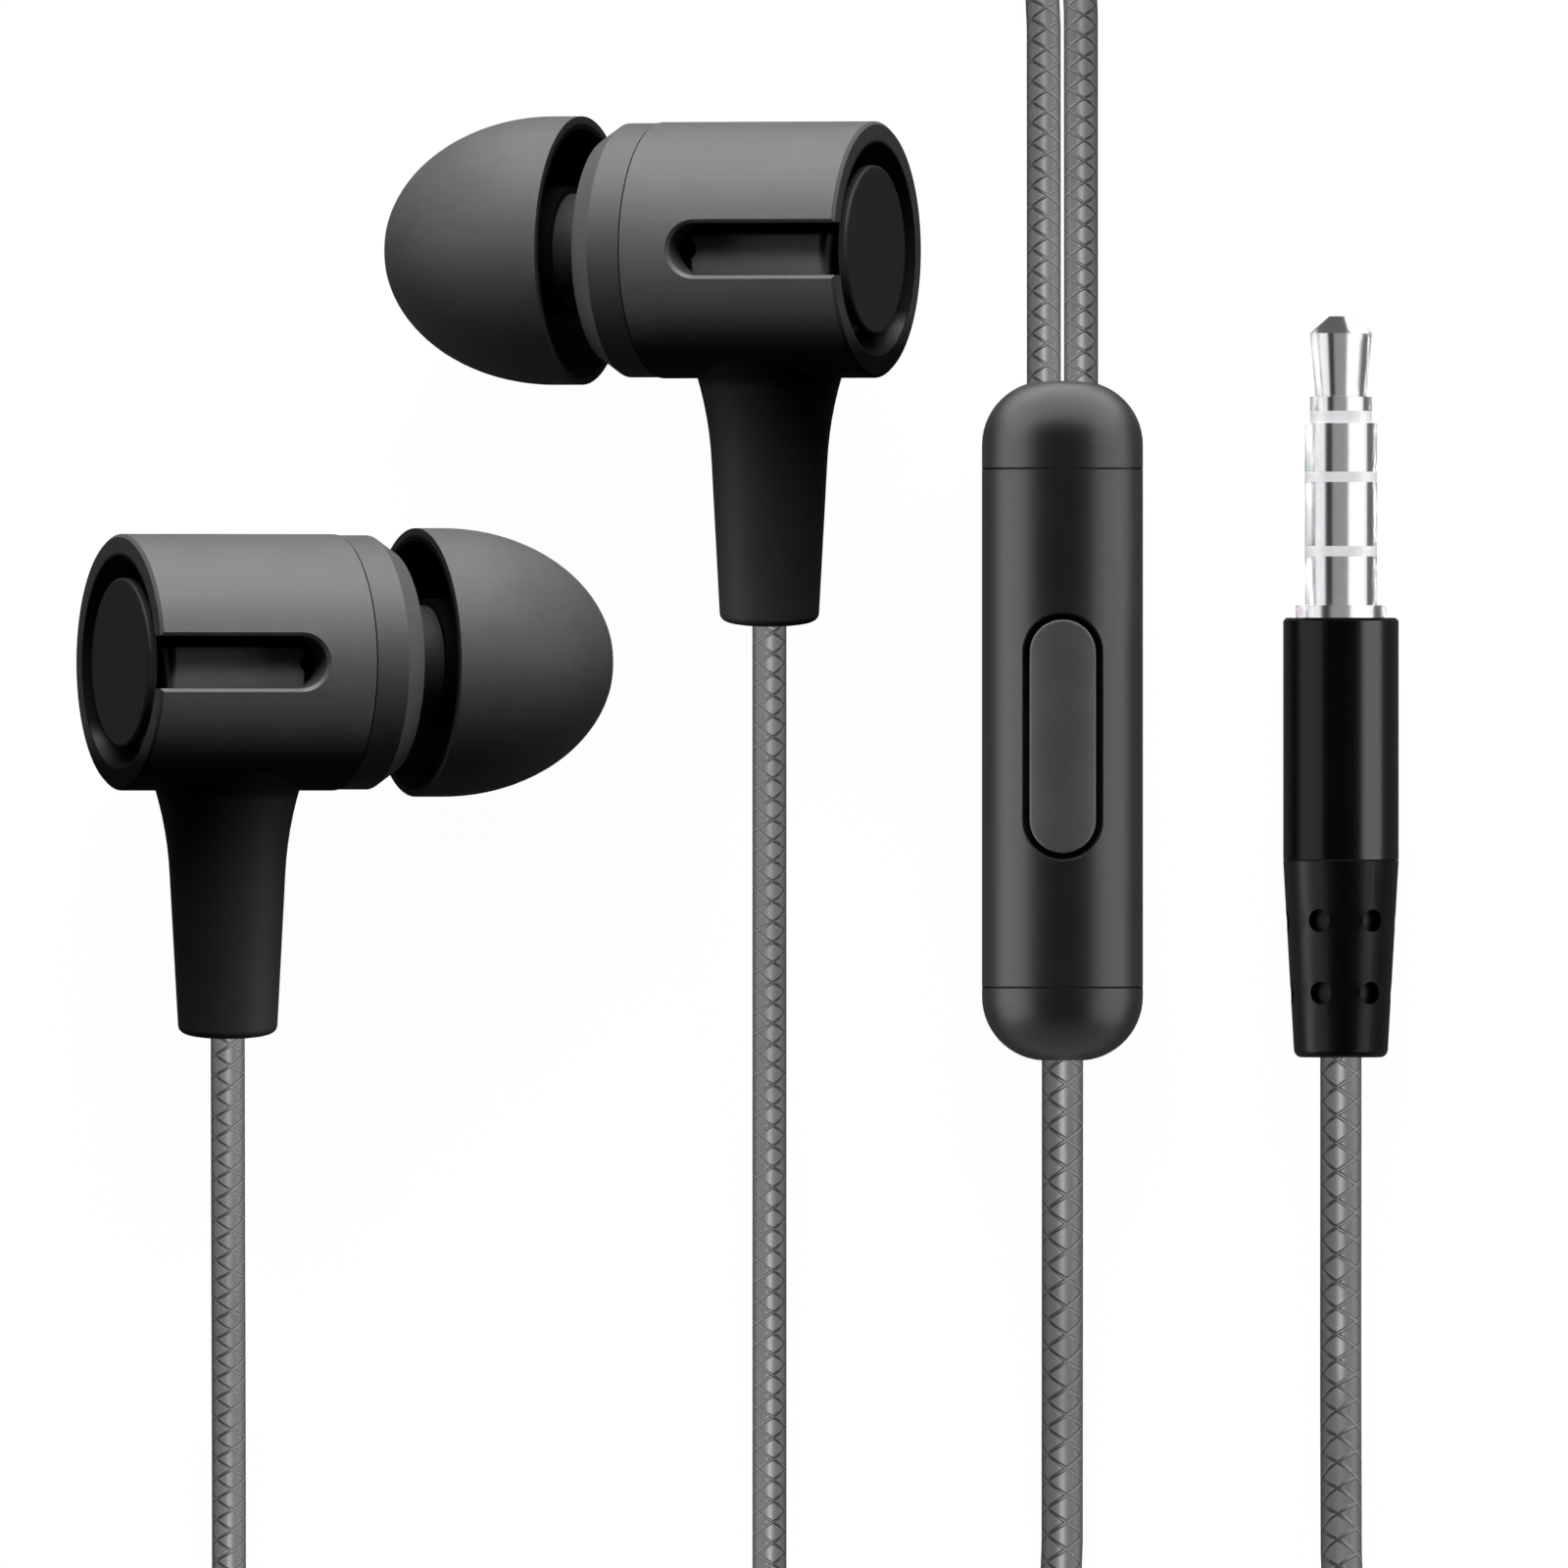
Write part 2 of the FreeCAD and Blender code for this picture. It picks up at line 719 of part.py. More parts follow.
def disc_between(name, back, front, radius):
    """A plain round disc."""
    return turned(name, [(back, "0"), (back, radius), (front, radius), (front, "0")])


def magnet_and_plate(side):
    """Magnet on the pot's floor, and the top plate on the magnet."""
    magnet = f"{driver_start()} + yoke_floor + fit"
    plate = f"{magnet} + magnet_thickness"
    return [
        disc_between(side + "_magnet", magnet, plate, "magnet_radius"),
        disc_between(side + "_top_plate", f"{plate} + fit", f"{driver_start()} + yoke_depth", "plate_radius"),
    ]


def voice_coil(side):
    """Ring of wire in the gap between the top plate and the pot."""
    back, front = f"{driver_start()} + voice_coil_start", f"{driver_start()} + diaphragm_seat - fit"
    return turned(side + "_voice_coil", [
        (back, "voice_coil_inner"), (back, "voice_coil_outer"),
        (front, "voice_coil_outer"), (front, "voice_coil_inner")])


def diaphragm(side):
    """Thin film: a dome inside the voice coil and a rolled surround outside it."""
    seat = f"{driver_start()} + diaphragm_seat"
    front = f"{seat} + diaphragm_film"
    halfway = "(voice_coil_outer + diaphragm_radius) / 2"
    bend = "((voice_coil_outer ^ 2 + dome_rise ^ 2) / (2 * dome_rise))"
    rise = f"dome_rise - {bend} + sqrt({bend} ^ 2 - voice_coil_outer ^ 2 / 4)"
    return turned(side + "_diaphragm", [
        (f"{front} + dome_rise", "0"),
        (front, "voice_coil_outer"),
        (front, "diaphragm_radius"),
        (seat, "diaphragm_radius"),
        (seat, "voice_coil_outer"),
        (f"{seat} + dome_rise", "0"),
    ], {
        0: (f"{front} + {rise}", "voice_coil_outer / 2"),
        1: (f"{front} + surround_rise", halfway),
        3: (f"{seat} + surround_rise", halfway),
        4: (f"{seat} + {rise}", "voice_coil_outer / 2"),
    })


def terminal_board(side):
    """Half-moon board behind the yoke, with two solder pads."""
    body = new_body(side + "_terminal_board")
    front = f"{driver_start()} - fit"
    plate = new_sketch(body, side + "_board_outline", "YZ_Plane", front)
    half = "sqrt(board_radius ^ 2 - board_chord ^ 2)"
    draw_outline(plate, [(f"-{half}", "-board_chord"), (half, "-board_chord")], {1: ("0", "-board_radius")})
    push(body, side + "_board", plate, "board_thickness", "Pad", True)
    pads = new_sketch(body, side + "_pads_outline", "YZ_Plane", f"{front} - board_thickness")
    for across in ("-solder_spread", "solder_spread"):
        draw_circle(pads, across, "-(board_chord + board_radius) / 2", "solder_radius")
    push(body, side + "_pads", pads, "solder_height", "Pad", True)
    return body


def cord_knot(side):
    """Knot in the cord that rests on the lip inside the stem."""
    body = new_body(side + "_cord_knot")
    low = "stem_length - stem_lip - fit"
    turn_on_stem(body, side + "_knot", [
        ("0", f"{low} - knot_length"),
        ("stem_cavity_radius - running_fit", f"{low} - knot_length"),
        ("stem_cavity_radius - running_fit", low),
        ("0", low),
    ])
    dress(body, side + "_knot_round", "knot_round", lambda edge: isinstance(edge.Curve, Part.Circle))
    return body


def earpiece_placement(side):
    """Lays an earpiece down: back ring raised, stem a little lowered, ear tip on the surface."""
    tilt, droop = value("barrel_tilt"), value("stem_droop")
    across, along = FreeCAD.Vector(0, 1, 0), FreeCAD.Vector(1, 0, 0)
    facing = FreeCAD.Rotation(across, 0 if side == "left" else 180)
    lean = FreeCAD.Rotation(across, -SIDES[side] * tilt)
    turn = lean * FreeCAD.Rotation(along, droop) * facing * FreeCAD.Rotation(along, -90)
    sine, cosine = math.sin(math.radians(tilt)), math.cos(math.radians(tilt))
    tip_height = math.hypot(value("tip_radius") * cosine, value("tip_reach") * sine)
    stem_axis = turn.multVec(FreeCAD.Vector(
        math.sin(math.radians(value("stem_lean"))), 0, -math.cos(math.radians(value("stem_lean")))))
    end_rise = value("stem_end_radius") * math.hypot(stem_axis.x, stem_axis.z)
    middle = (end_rise - stem_axis.y * value("stem_length") - value("tip_radius")) / 2
    stem_top = FreeCAD.Vector(
        SIDES[side] * value("earpieces_apart") / 2,
        SIDES[side] * value("earpieces_stagger") / 2 + middle,
        tip_height + (value(tip_equator()) - value("stem_position")) * sine)
    base = stem_top - turn.multVec(FreeCAD.Vector(value("stem_position"), 0, 0))
    return FreeCAD.Placement(base, turn)


def earpiece(side):
    """Every piece of one earpiece."""
    first = len(nodes)
    for make in (housing, rear_chamber, back_disc, front_shell, nozzle_mesh, ear_tip, driver_frame,
                 yoke, magnet_and_plate, voice_coil, diaphragm, terminal_board, cord_knot):
        make(side)
    for body in nodes[first:]:
        body.Placement = earpiece_placement(side)


# Button pod

def pod_tube():
    """Middle of the pod, with the button's opening above and the sound hole below."""
    body = new_body("pod_tube")
    start, finish = "top_cap + seam", "pod_length - bottom_cap - seam"
    turn_outline(body, "pod_wall_turned", [
        (start, "pod_radius - pod_wall"), (start, "pod_radius"),
        (finish, "pod_radius"), (finish, "pod_radius - pod_wall")])
    opening = new_sketch(body, "button_opening_outline", "XY_Plane")
    draw_stadium(opening, button_middle(), "button_length + 2 * button_gap", "button_width + 2 * button_gap")
    push(body, "button_opening", opening, "pod_radius + overcut", reversed_way=True)
    half = value("button_width / 2 + button_gap") + 1e-3
    dress(body, "button_opening_edge", "opening_chamfer", lies_on_cylinder(
        "pod_radius", lambda point: abs(point.y) < half and point.z > 0), "Chamfer")
    sound_hole = new_sketch(body, "sound_hole_outline", "XY_Plane")
    draw_circle(sound_hole, "microphone_position", "0", "sound_hole_radius")
    push(body, "sound_hole", sound_hole, "pod_radius + overcut")
    return body


def button_middle():
    """Place of the button's middle along the pod."""
    return "pod_length / 2 + button_offset"


def pod_cap(name, end, seam_start, tube_end, inner, spigot, cord_holes, cord_radius, reversed_way):
    """Rounded end of the pod, with a groove at the seam, a spigot inside the tube and cord holes."""
    body = new_body(name)
    turn_outline(body, name + "_turned", [
        (end, "0"), (end, "pod_radius"), (seam_start, "pod_radius"),
        (seam_start, "pod_radius - seam_depth"), (tube_end, "pod_radius - seam_depth"),
        (tube_end, spigot), (inner, spigot), (inner, "0")])
    dress(body, name + "_round", "pod_end_round", is_circle(end, "pod_radius"))
    holes = new_sketch(body, name + "_holes_outline", "YZ_Plane", end)
    for across in cord_holes:
        draw_circle(holes, across, "0", cord_radius)
    push(body, name + "_holes", holes, "pod_cord_depth", reversed_way=reversed_way)
    return body


def pod_caps():
    """Top cap with two cord holes side by side, and bottom cap with one."""
    spigot = "pod_radius - pod_wall - running_fit"
    low = "pod_length - bottom_cap"
    return [
        pod_cap("pod_top_cap", "0", "top_cap", "top_cap + seam", "top_cap + cap_spigot", spigot,
                ("-pod_cord_spacing / 2", "pod_cord_spacing / 2"),
                "branch_cord / 2 + cord_clearance", True),
        pod_cap("pod_bottom_cap", "pod_length", low, f"{low} - seam", f"{low} - cap_spigot", spigot,
                ("0",), "main_cord / 2 + cord_clearance", False),
    ]


def switch_top():
    """Height of the switch's upper face."""
    return "board_top + switch_height"


def pod_button():
    """Long button, crowned like the pod, with a flange that keeps it in and a post to the switch."""
    body = new_body("pod_button")
    top = new_sketch(body, "button_outline", "XY_Plane", "button_flange_top")
    draw_stadium(top, button_middle(), "button_length", "button_width")
    push(body, "button_cap", top, "pod_radius + overcut - button_flange_top", "Pad")
    crown = [("0", "pod_radius + button_proud"), ("0", "2 * pod_radius"),
             ("pod_length", "2 * pod_radius"), ("pod_length", "pod_radius + button_proud")]
    turn_outline(body, "button_crown", crown, kind="Groove")
    dress(body, "button_edge", "button_round", lies_on_cylinder(
        "pod_radius + button_proud", lambda point: True))
    flange = new_sketch(body, "button_flange_outline", "XY_Plane", "button_flange_top")
    draw_stadium(flange, button_middle(), "button_length + 2 * button_flange",
                 "button_width + 2 * button_flange")
    push(body, "button_flange_pad", flange, "button_flange_thickness", "Pad", True)
    post_start = "button_flange_top - button_flange_thickness"
    post = new_sketch(body, "button_post_outline", "XY_Plane", post_start)
    draw_circle(post, button_middle(), "0", "button_post_radius")
    reach = f"{post_start} - ({switch_top()}) - plunger_height - plunger_play"
    push(body, "button_post", post, reach, "Pad", True)
    return body


def primitive(kind, name, sizes, corner):
    """A box or cylinder whose sizes and place are bound."""
    item = document.addObject("Part::" + kind, name)
    for label, text in sizes.items():
        item.setExpression(label, bound(text))
    for letter, text in zip("xyz", corner):
        item.setExpression("Placement.Base." + letter, bound(text))
    return item


def keep(item, name):
    """Makes a document object a sub-part of the pod, and lays it where the pod lies."""
    item.Label = name
    nodes.append(item)
    return item


def joined(kind, name, base, tool):
    """A boolean of two objects."""
    result = document.addObject("Part::" + kind, name)
    result.Base = base
    result.Tool = tool
    return keep(result, name)


def pod_electronics():
    """Circuit board, switch, microphone with its gasket, and chips."""
    middle = button_middle()
    board = primitive("Box", "board_blank", {
        "Length": "board_length", "Width": "board_width", "Height": "board_height",
    }, (f"{middle} - board_length / 2", "-board_width / 2", "board_top - board_height"))
    pin_hole = primitive("Cylinder", "board_hole", {
        "Radius": "vent_radius", "Height": "board_height + overcut",
    }, (f"{middle} - board_length / 2 + overcut", "0", "board_top - board_height - overcut / 2"))
    joined("Cut", "pod_circuit_board", board, pin_hole)
    switch = primitive("Box", "switch_blank", {
        "Length": "switch_length", "Width": "switch_width", "Height": "switch_height",
    }, (f"{middle} - switch_length / 2", "-switch_width / 2", "board_top"))
    floor = f"{switch_top()} - plunger_depth - plunger_travel"
    well = primitive("Cylinder", "switch_well", {
        "Radius": "plunger_radius + running_fit", "Height": "plunger_depth + plunger_travel + overcut",
    }, (middle, "0", floor))
    joined("Cut", "pod_switch_body", switch, well)
    keep(primitive("Cylinder", "pod_switch_plunger", {
        "Radius": "plunger_radius", "Height": "plunger_height + plunger_depth",
    }, (middle, "0", f"{switch_top()} - plunger_depth")), "pod_switch_plunger")
    capsule_low = "board_top - board_height - microphone_depth"
    keep(primitive("Cylinder", "pod_microphone", {
        "Radius": "microphone_radius", "Height": "microphone_depth",
    }, ("microphone_position", "0", capsule_low)), "pod_microphone")
    gasket = primitive("Cylinder", "gasket_blank", {"Radius": "gasket_radius", "Height": "gasket_length"},
                       ("microphone_position", "0", f"{capsule_low} - gasket_length"))
    sound_hole = primitive("Cylinder", "gasket_hole", {
        "Radius": "sound_hole_radius", "Height": "gasket_length + 2 * overcut",
    }, ("microphone_position", "0", f"{capsule_low} - gasket_length - overcut"))
    joined("Cut", "pod_microphone_gasket", gasket, sound_hole)
    chip = primitive("Box", "chip", {"Length": "chip_size", "Width": "chip_size", "Height": "chip_height"},
                     ("chip_position", "-chip_size / 2", "board_top"))
    small_chip = primitive("Box", "small_chip", {
        "Length": "chip_size / 2", "Width": "chip_size / 2", "Height": "chip_height / 2",
    }, ("chip_position + 1.5 * chip_size", "-chip_size / 4", "board_top"))
    joined("Fuse", "pod_chips", chip, small_chip)


def lay(items, placement):
    """Moves sub-parts from the frame they are drawn in to where they lie."""
    document.recompute()
    for item in items:
        place = placement * item.Placement
        for letter in "xyz":
            item.setExpression("Placement.Base." + letter, None)
        item.Placement = place


def pod():
    """Every piece of the pod, laid with the button up and the cord pair at the top."""
    first = len(nodes)
    pod_tube()
    pod_caps()
    pod_button()
    pod_electronics()
    base = FreeCAD.Vector(value("pod_right"), value("pod_top"), value("pod_radius"))
    lay(nodes[first:], FreeCAD.Placement(base, FreeCAD.Rotation(FreeCAD.Vector(0, 0, 1), -90)))


# Plug

def pin_start():
    """Place where the pin leaves the flange."""
    return "relief_length + seam + grip_length + flange_length"


def strain_relief():
    """Tapered end of the plug, with rings of blind dimples and the cord's hole."""
    body = new_body("plug_strain_relief")
    turn_outline(body, "relief_turned", [
        ("0", "0"), ("0", "relief_end_radius"), ("relief_length", "grip_radius"),
        ("relief_length", "grip_radius - seam_depth"),
        ("relief_length + seam", "grip_radius - seam_depth"), ("relief_length + seam", "0")])
    dress(body, "relief_round", "relief_round", is_circle("0", "relief_end_radius"))
    hole = new_sketch(body, "relief_bore_outline", "YZ_Plane")
    draw_circle(hole, "0", "0", "main_cord / 2 + cord_clearance")
    push(body, "relief_bore", hole, "relief_bore_depth", reversed_way=True)
    slope = "(grip_radius - relief_end_radius) / relief_length"
    for number, place in enumerate(("dimple_first", "dimple_first + dimple_pitch"), 1):
        depth = f"relief_end_radius + {slope} * ({place}) - dimple_depth"
        dimple = new_sketch(body, f"dimple_{number}_outline", "XY_Plane", depth)
        draw_circle(dimple, place, "0", "dimple_radius")
        ring_of_holes(body, f"dimples_{number}", dimple, "dimple_depth + overcut", 6, True)
    return body


def plug_grip():
    """Round housing over the conductors' tails."""
    start, finish = "relief_length + seam", "relief_length + seam + grip_length"
    body = turned("plug_housing", [
        (start, "grip_radius - grip_wall"),
        (start, "grip_radius"),
        (f"{finish} - grip_chamfer", "grip_radius"),
        (finish, "grip_radius - grip_chamfer"),
        (finish, "pin_radius + fit"),
        (f"{finish} - grip_wall", "pin_radius + fit"),
        (f"{finish} - grip_wall", "grip_radius - grip_wall"),
    ])
    return body


def layer_radius(number):
    """Outer radius of a conductor or insulating layer round the central rod."""
    return f"(rod_radius + {number} * layer_wall)"


def stepped_tube(name, number, start, finish, outer, lag):
    """A layer of the plug: full size where it shows, and a thin tail back into the housing."""
    inner, tail = f"{layer_radius(number - 1)} + fit", layer_radius(number)
    end = f"{pin_start()} - flange_length - tail_length - {lag} * tail_step"
    return turned(name, [
        (end, inner), (end, tail), (start, tail), (start, outer), (finish, outer), (finish, inner)])


def plug_contacts():
    """Tip, two rings and sleeve, kept apart by three insulators, as tubes one inside another."""
    sleeve = f"{pin_start()} + sleeve_length"
    insulator_3 = f"{sleeve} + insulator_length"
    ring_2 = f"{insulator_3} + ring_2_length"
    insulator_2 = f"{ring_2} + insulator_length"
    ring_1 = f"{insulator_2} + ring_1_length"
    insulator_1 = f"{ring_1} + tip_insulator_length"
    end = f"{pin_start()} + pin_length"
    flange = f"{pin_start()} - flange_length"
    turned("plug_sleeve", [
        (f"{flange} - tail_length + 2 * tail_step", f"{layer_radius(5)} + fit"),
        (f"{flange} - tail_length + 2 * tail_step", "pin_radius"),
        (flange, "pin_radius"),
        (flange, "flange_radius"),
        (pin_start(), "flange_radius"),
        (pin_start(), "pin_radius"),
        (sleeve, "pin_radius"),
        (sleeve, f"{layer_radius(5)} + fit"),
    ])
    stepped_tube("plug_insulator_3", 5, sleeve, insulator_3, "pin_radius", -1.5)
    stepped_tube("plug_ring_2", 4, insulator_3, ring_2, "pin_radius", -1)
    stepped_tube("plug_insulator_2", 3, ring_2, insulator_2, "pin_radius", -0.5)
    stepped_tube("plug_ring_1", 2, insulator_2, ring_1, "pin_radius", 0)
    stepped_tube("plug_insulator_1", 1, ring_1, insulator_1, "tip_collar_radius", 0.5)
    turned("plug_tip", [
        (f"{flange} - tail_length - tail_step", "0"),
        (f"{flange} - tail_length - tail_step", "rod_radius"),
        (insulator_1, "rod_radius"),
        (insulator_1, "tip_collar_radius"),
        (f"{insulator_1} + tip_collar_length", "tip_collar_radius"),
        (f"{insulator_1} + tip_collar_length", "tip_waist_radius"),
        (f"{end} - tip_bulge", "tip_bulge_radius"),
        (end, "tip_flat_radius"),
        (end, "0"),
    ])


def plug():
    """Every piece of the plug, lying on its housing with the tip upwards in plan."""
    first = len(nodes)
    strain_relief()
    plug_grip()
    plug_contacts()
    base = FreeCAD.Vector(value("plug_right"), value("plug_bottom"), value("grip_radius"))
    upright = FreeCAD.Rotation(FreeCAD.Vector(0, 0, 1), 90)
    roll = FreeCAD.Rotation(FreeCAD.Vector(1, 0, 0), value("dimple_turn") + 30)
    lay(nodes[first:], FreeCAD.Placement(base, upright * roll))


# Cords

def stem_place(side, distance):
    """A place on the stem's axis, where the earpiece lies."""
    lean = math.radians(value("stem_lean"))
    across = value("stem_position") + distance * math.sin(lean)
    return earpiece_placement(side).multVec(FreeCAD.Vector(across, 0, -distance * math.cos(lean)))


def cord_tube(name, points, diameter):
    """A cord along straight runs that tangent arcs join, as round as the shorter run allows."""
    points = [FreeCAD.Vector(*point) for point in points]
    edges, radii, start = [], [], points[0]
    for before, corner, after in zip(points, points[1:], points[2:]):
        back, on = before - corner, after - corner
        reach = 0.45 * min(back.Length, on.Length)
        half_turn = (math.pi - back.getAngle(on)) / 2
        radius = reach / math.tan(half_turn)
        back.normalize()
        on.normalize()
        inward = (back + on).normalize()
        first, last = corner + back * reach, corner + on * reach
        middle = corner + inward * (radius / math.cos(half_turn) - radius)
        edges.append(Part.LineSegment(start, first).toShape())
        edges.append(Part.Arc(first, middle, last).toShape())
        radii.append(radius)
        start = last
    edges.append(Part.LineSegment(start, points[-1]).toShape())
    path = Part.Wire(edges)
    section = Part.Wire(Part.Circle(points[0], points[1] - points[0], diameter / 2).toShape())
    solid = Part.Solid(path.makePipeShell([section], True, False))
    expected = math.pi * diameter ** 2 / 4 * path.Length
    if abs(solid.Volume / expected - 1) > 0.01:
        raise ValueError(f"{name} holds {solid.Volume:.1f}, not {expected:.1f}")
    tube = document.addObject("Part::Feature", name)
    tube.Shape = solid
    keep(tube, name)
    print(name, "length", round(path.Length, 1), "radii", [round(radius, 1) for radius in radii])


def coil_edge(sort, cord):
    """Radius of the middle of a coil's outermost turn."""
    return f"({sort}_coil_radius + {sort}_coil_turns / {layers_of(sort)} / 2 * {cord})"


def layers_of(sort):
    """Alias of a coil's number of layers."""
    return "main_coil_layers" if sort == "main" else "branch_coil_layers"


def cord_coil(name, sort, cord, middle):
    """The outer shape of a round coil, lying flat."""
    outer = f"{coil_edge(sort, cord)} + {cord} / 2 + coil_margin"
    inner = f"2 * {sort}_coil_radius - ({outer})"
    height = f"{layers_of(sort)} * {cord}"
    body = turned(name, [("0", inner), ("0", outer), (height, outer), (height, inner)])
    rims = (is_circle(height, outer), is_circle(height, inner))
    dress(body, name + "_round", "coil_round", lambda edge: any(test(edge) for test in rims))
    upright = FreeCAD.Rotation(FreeCAD.Vector(0, 1, 0), -90)
    body.Placement = FreeCAD.Placement(FreeCAD.Vector(*middle, 0), upright)


def left_cord():
    """Left branch: from the stem to a coil below it, then round the top to the pod."""
    thick = value("branch_cord")
    low, second = thick / 2, thick * 1.5
    start = stem_place("left", value("stem_length - stem_lip"))
    bend = stem_place("left", value("stem_length") + 3.4)
    radius = value(coil_edge("left", "branch_cord"))
    middle = (start.x - radius, -value("left_coil_below"))
    cord_tube("left_cord_at_earpiece", [
        start, bend, (start.x, -31.9, 5.6), (start.x, -37.2, 3.5), (start.x, -43.4, 1.75),
        (start.x, -51.8, 0.95), (start.x, middle[1] + 1, low)], thick)
    cord_coil("left_cord_coil", "left", "branch_cord", middle)
    far = middle[0] - radius
    across = value("pod_right - pod_cord_spacing / 2")
    top, height = value("pod_top"), value("pod_radius")
    cord_tube("left_cord_at_pod", [
        (far, middle[1] + 1, second), (far, -51.5, 2.2), (far + 1.2, -39.5, low), (-29.0, -20.0, low),
        (-27.6, 6.0, low), (-28.0, 26.0, low), (-20.0, 36.0, low), (-6.0, 38.4, low), (10.0, 38.0, low),
        (20.6, 36.4, low), (across, 31.6, 1.1), (across, 22.0, 2.9), (across, top + 3, height),
        (across, top - 3, height)], thick)


def right_cord():
    """Right branch: a longer way down, a coil beside the first, and outside the left one."""
    thick = value("branch_cord")
    low, second = thick / 2, thick * 1.5
    start = stem_place("right", value("stem_length - stem_lip"))
    bend = stem_place("right", value("stem_length") + 3.4)
    radius = value(coil_edge("right", "branch_cord"))
    middle = (start.x - radius, -value("right_coil_below"))
    cord_tube("right_cord_at_earpiece", [
        start, bend, (start.x, -12.5, 5.8), (start.x, -20.0, 3.7), (start.x, -29.0, 1.95),
        (start.x, -40.5, 1.1), (start.x, -52.5, low), (start.x, middle[1] + 1, low)], thick)
    cord_coil("right_cord_coil", "right", "branch_cord", middle)
    low_side = middle[1] - radius
    across = value("pod_right + pod_cord_spacing / 2")
    top, height = value("pod_top"), value("pod_radius")
    cord_tube("right_cord_at_pod", [
        (middle[0] - 1, low_side, second), (middle[0] - 9.5, low_side, 2.2), (-18.0, low_side - 0.3, low),
        (-28.0, low_side - 0.5, low), (-35.9, -68.8, low), (-36.6, -56.5, low), (-35.4, -38.0, low),
        (-32.6, -14.0, low), (-31.0, 10.0, low), (-31.3, 28.0, low), (-22.0, 38.8, low),
        (-7.0, 41.4, low), (9.0, 41.0, low), (21.4, 39.0, low), (across, 32.8, 1.0),
        (across, 22.4, 2.9), (across, top + 3, height), (across, top - 3, height)], thick)


def main_cord():
    """Main cord: from the pod's lower end to a coil below, and back up to the plug.

    On each side one turn joins the straight drop with a line that touches the coil's outer edge.
    """
    thick = value("main_cord")
    low, upper = thick / 2, thick * value("main_coil_layers - 0.5")
    radius = value(coil_edge("main", "main_cord"))
    pod_x, plug_x = value("pod_right"), value("plug_right")
    middle = ((pod_x + plug_x) / 2, -value("main_coil_below"))
    lean = math.radians(value("main_coil_lean"))
    reach, rise = radius * math.cos(lean), middle[1] + radius * math.sin(lean)
    turn = rise + (reach - (plug_x - pod_x) / 2) / math.tan(lean)
    pod_end, height = value("pod_top - pod_length"), value("pod_radius")
    cord_tube("main_cord_at_pod", [
        (pod_x, pod_end + 2.9, height), (pod_x, pod_end - 4.2, height), (pod_x, -35.0, 3.0),
        (pod_x, -42.6, 1.25), (pod_x, turn, low),
        (middle[0] - reach + math.sin(lean), rise + math.cos(lean), low)], thick)
    cord_coil("main_cord_coil", "main", "main_cord", middle)
    plug_end, plug_height = value("plug_bottom"), value("grip_radius")
    cord_tube("main_cord_at_plug", [
        (middle[0] + reach - 2 * math.sin(lean), rise + 2 * math.cos(lean), upper),
        (plug_x, turn, upper - 0.6), (plug_x, -43.6, 3.4), (plug_x, -37.2, 1.35),
        (plug_x, plug_end - 5.6, plug_height), (plug_x, plug_end + 2.8, plug_height)], thick)


earpiece("left")
earpiece("right")
pod()
plug()
left_cord()
right_cord()
main_cord()

# Checks and files

document.recompute()
for item in document.Objects:
    if "Invalid" in item.State or "Error" in item.State:
        raise ValueError(f"{item.Name} failed: {item.State}")
os.makedirs("parts", exist_ok=True)
for item in nodes:
    if item.Shape.isNull() or not item.Shape.isValid():
        raise ValueError(f"{item.Label} has no sound shape")
    item.Shape.exportStep(f"parts/{item.Label}.step")
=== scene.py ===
"""Wired earphones: two earpieces, a button pod, a slim plug and the embossed cords between them."""

import json
import math

import bpy
import numpy as np
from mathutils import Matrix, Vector


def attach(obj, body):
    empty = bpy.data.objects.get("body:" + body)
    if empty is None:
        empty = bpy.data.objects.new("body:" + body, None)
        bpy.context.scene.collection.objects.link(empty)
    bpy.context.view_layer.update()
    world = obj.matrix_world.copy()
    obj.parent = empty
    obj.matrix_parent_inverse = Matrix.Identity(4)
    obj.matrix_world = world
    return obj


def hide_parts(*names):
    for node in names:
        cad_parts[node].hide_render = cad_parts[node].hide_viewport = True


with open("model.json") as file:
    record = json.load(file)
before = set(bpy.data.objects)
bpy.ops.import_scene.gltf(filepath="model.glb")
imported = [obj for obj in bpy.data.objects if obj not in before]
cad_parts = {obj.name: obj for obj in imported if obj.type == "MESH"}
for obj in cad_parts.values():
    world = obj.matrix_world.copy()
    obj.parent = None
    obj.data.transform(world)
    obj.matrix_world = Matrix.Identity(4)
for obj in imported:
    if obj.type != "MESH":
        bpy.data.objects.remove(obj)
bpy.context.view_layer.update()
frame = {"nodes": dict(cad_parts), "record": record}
scene = bpy.context.scene
MM = 0.001

# Camera, straight above the set

SENSOR = 36.0
FRAME_WIDTH = 76.01
CAMERA_HEIGHT = 3000.0
NEAREST_SEEN = 10.0
FARTHEST_SEEN = 10000.0
VIEW_CENTRE = (13.80, -9.96)


def make_camera():
    """A long lens over the middle of the photograph's frame, with the frame's width at the floor."""
    data = bpy.data.cameras.new("view_camera")
    data.sensor_width = SENSOR
    data.lens = SENSOR * CAMERA_HEIGHT / FRAME_WIDTH
    data.clip_start = NEAREST_SEEN * MM
    data.clip_end = FARTHEST_SEEN * MM
    camera = bpy.data.objects.new("view_camera", data)
    camera.location = (VIEW_CENTRE[0] * MM, VIEW_CENTRE[1] * MM, CAMERA_HEIGHT * MM)
    scene.collection.objects.link(camera)
    scene.camera = camera


make_camera()


# Cords

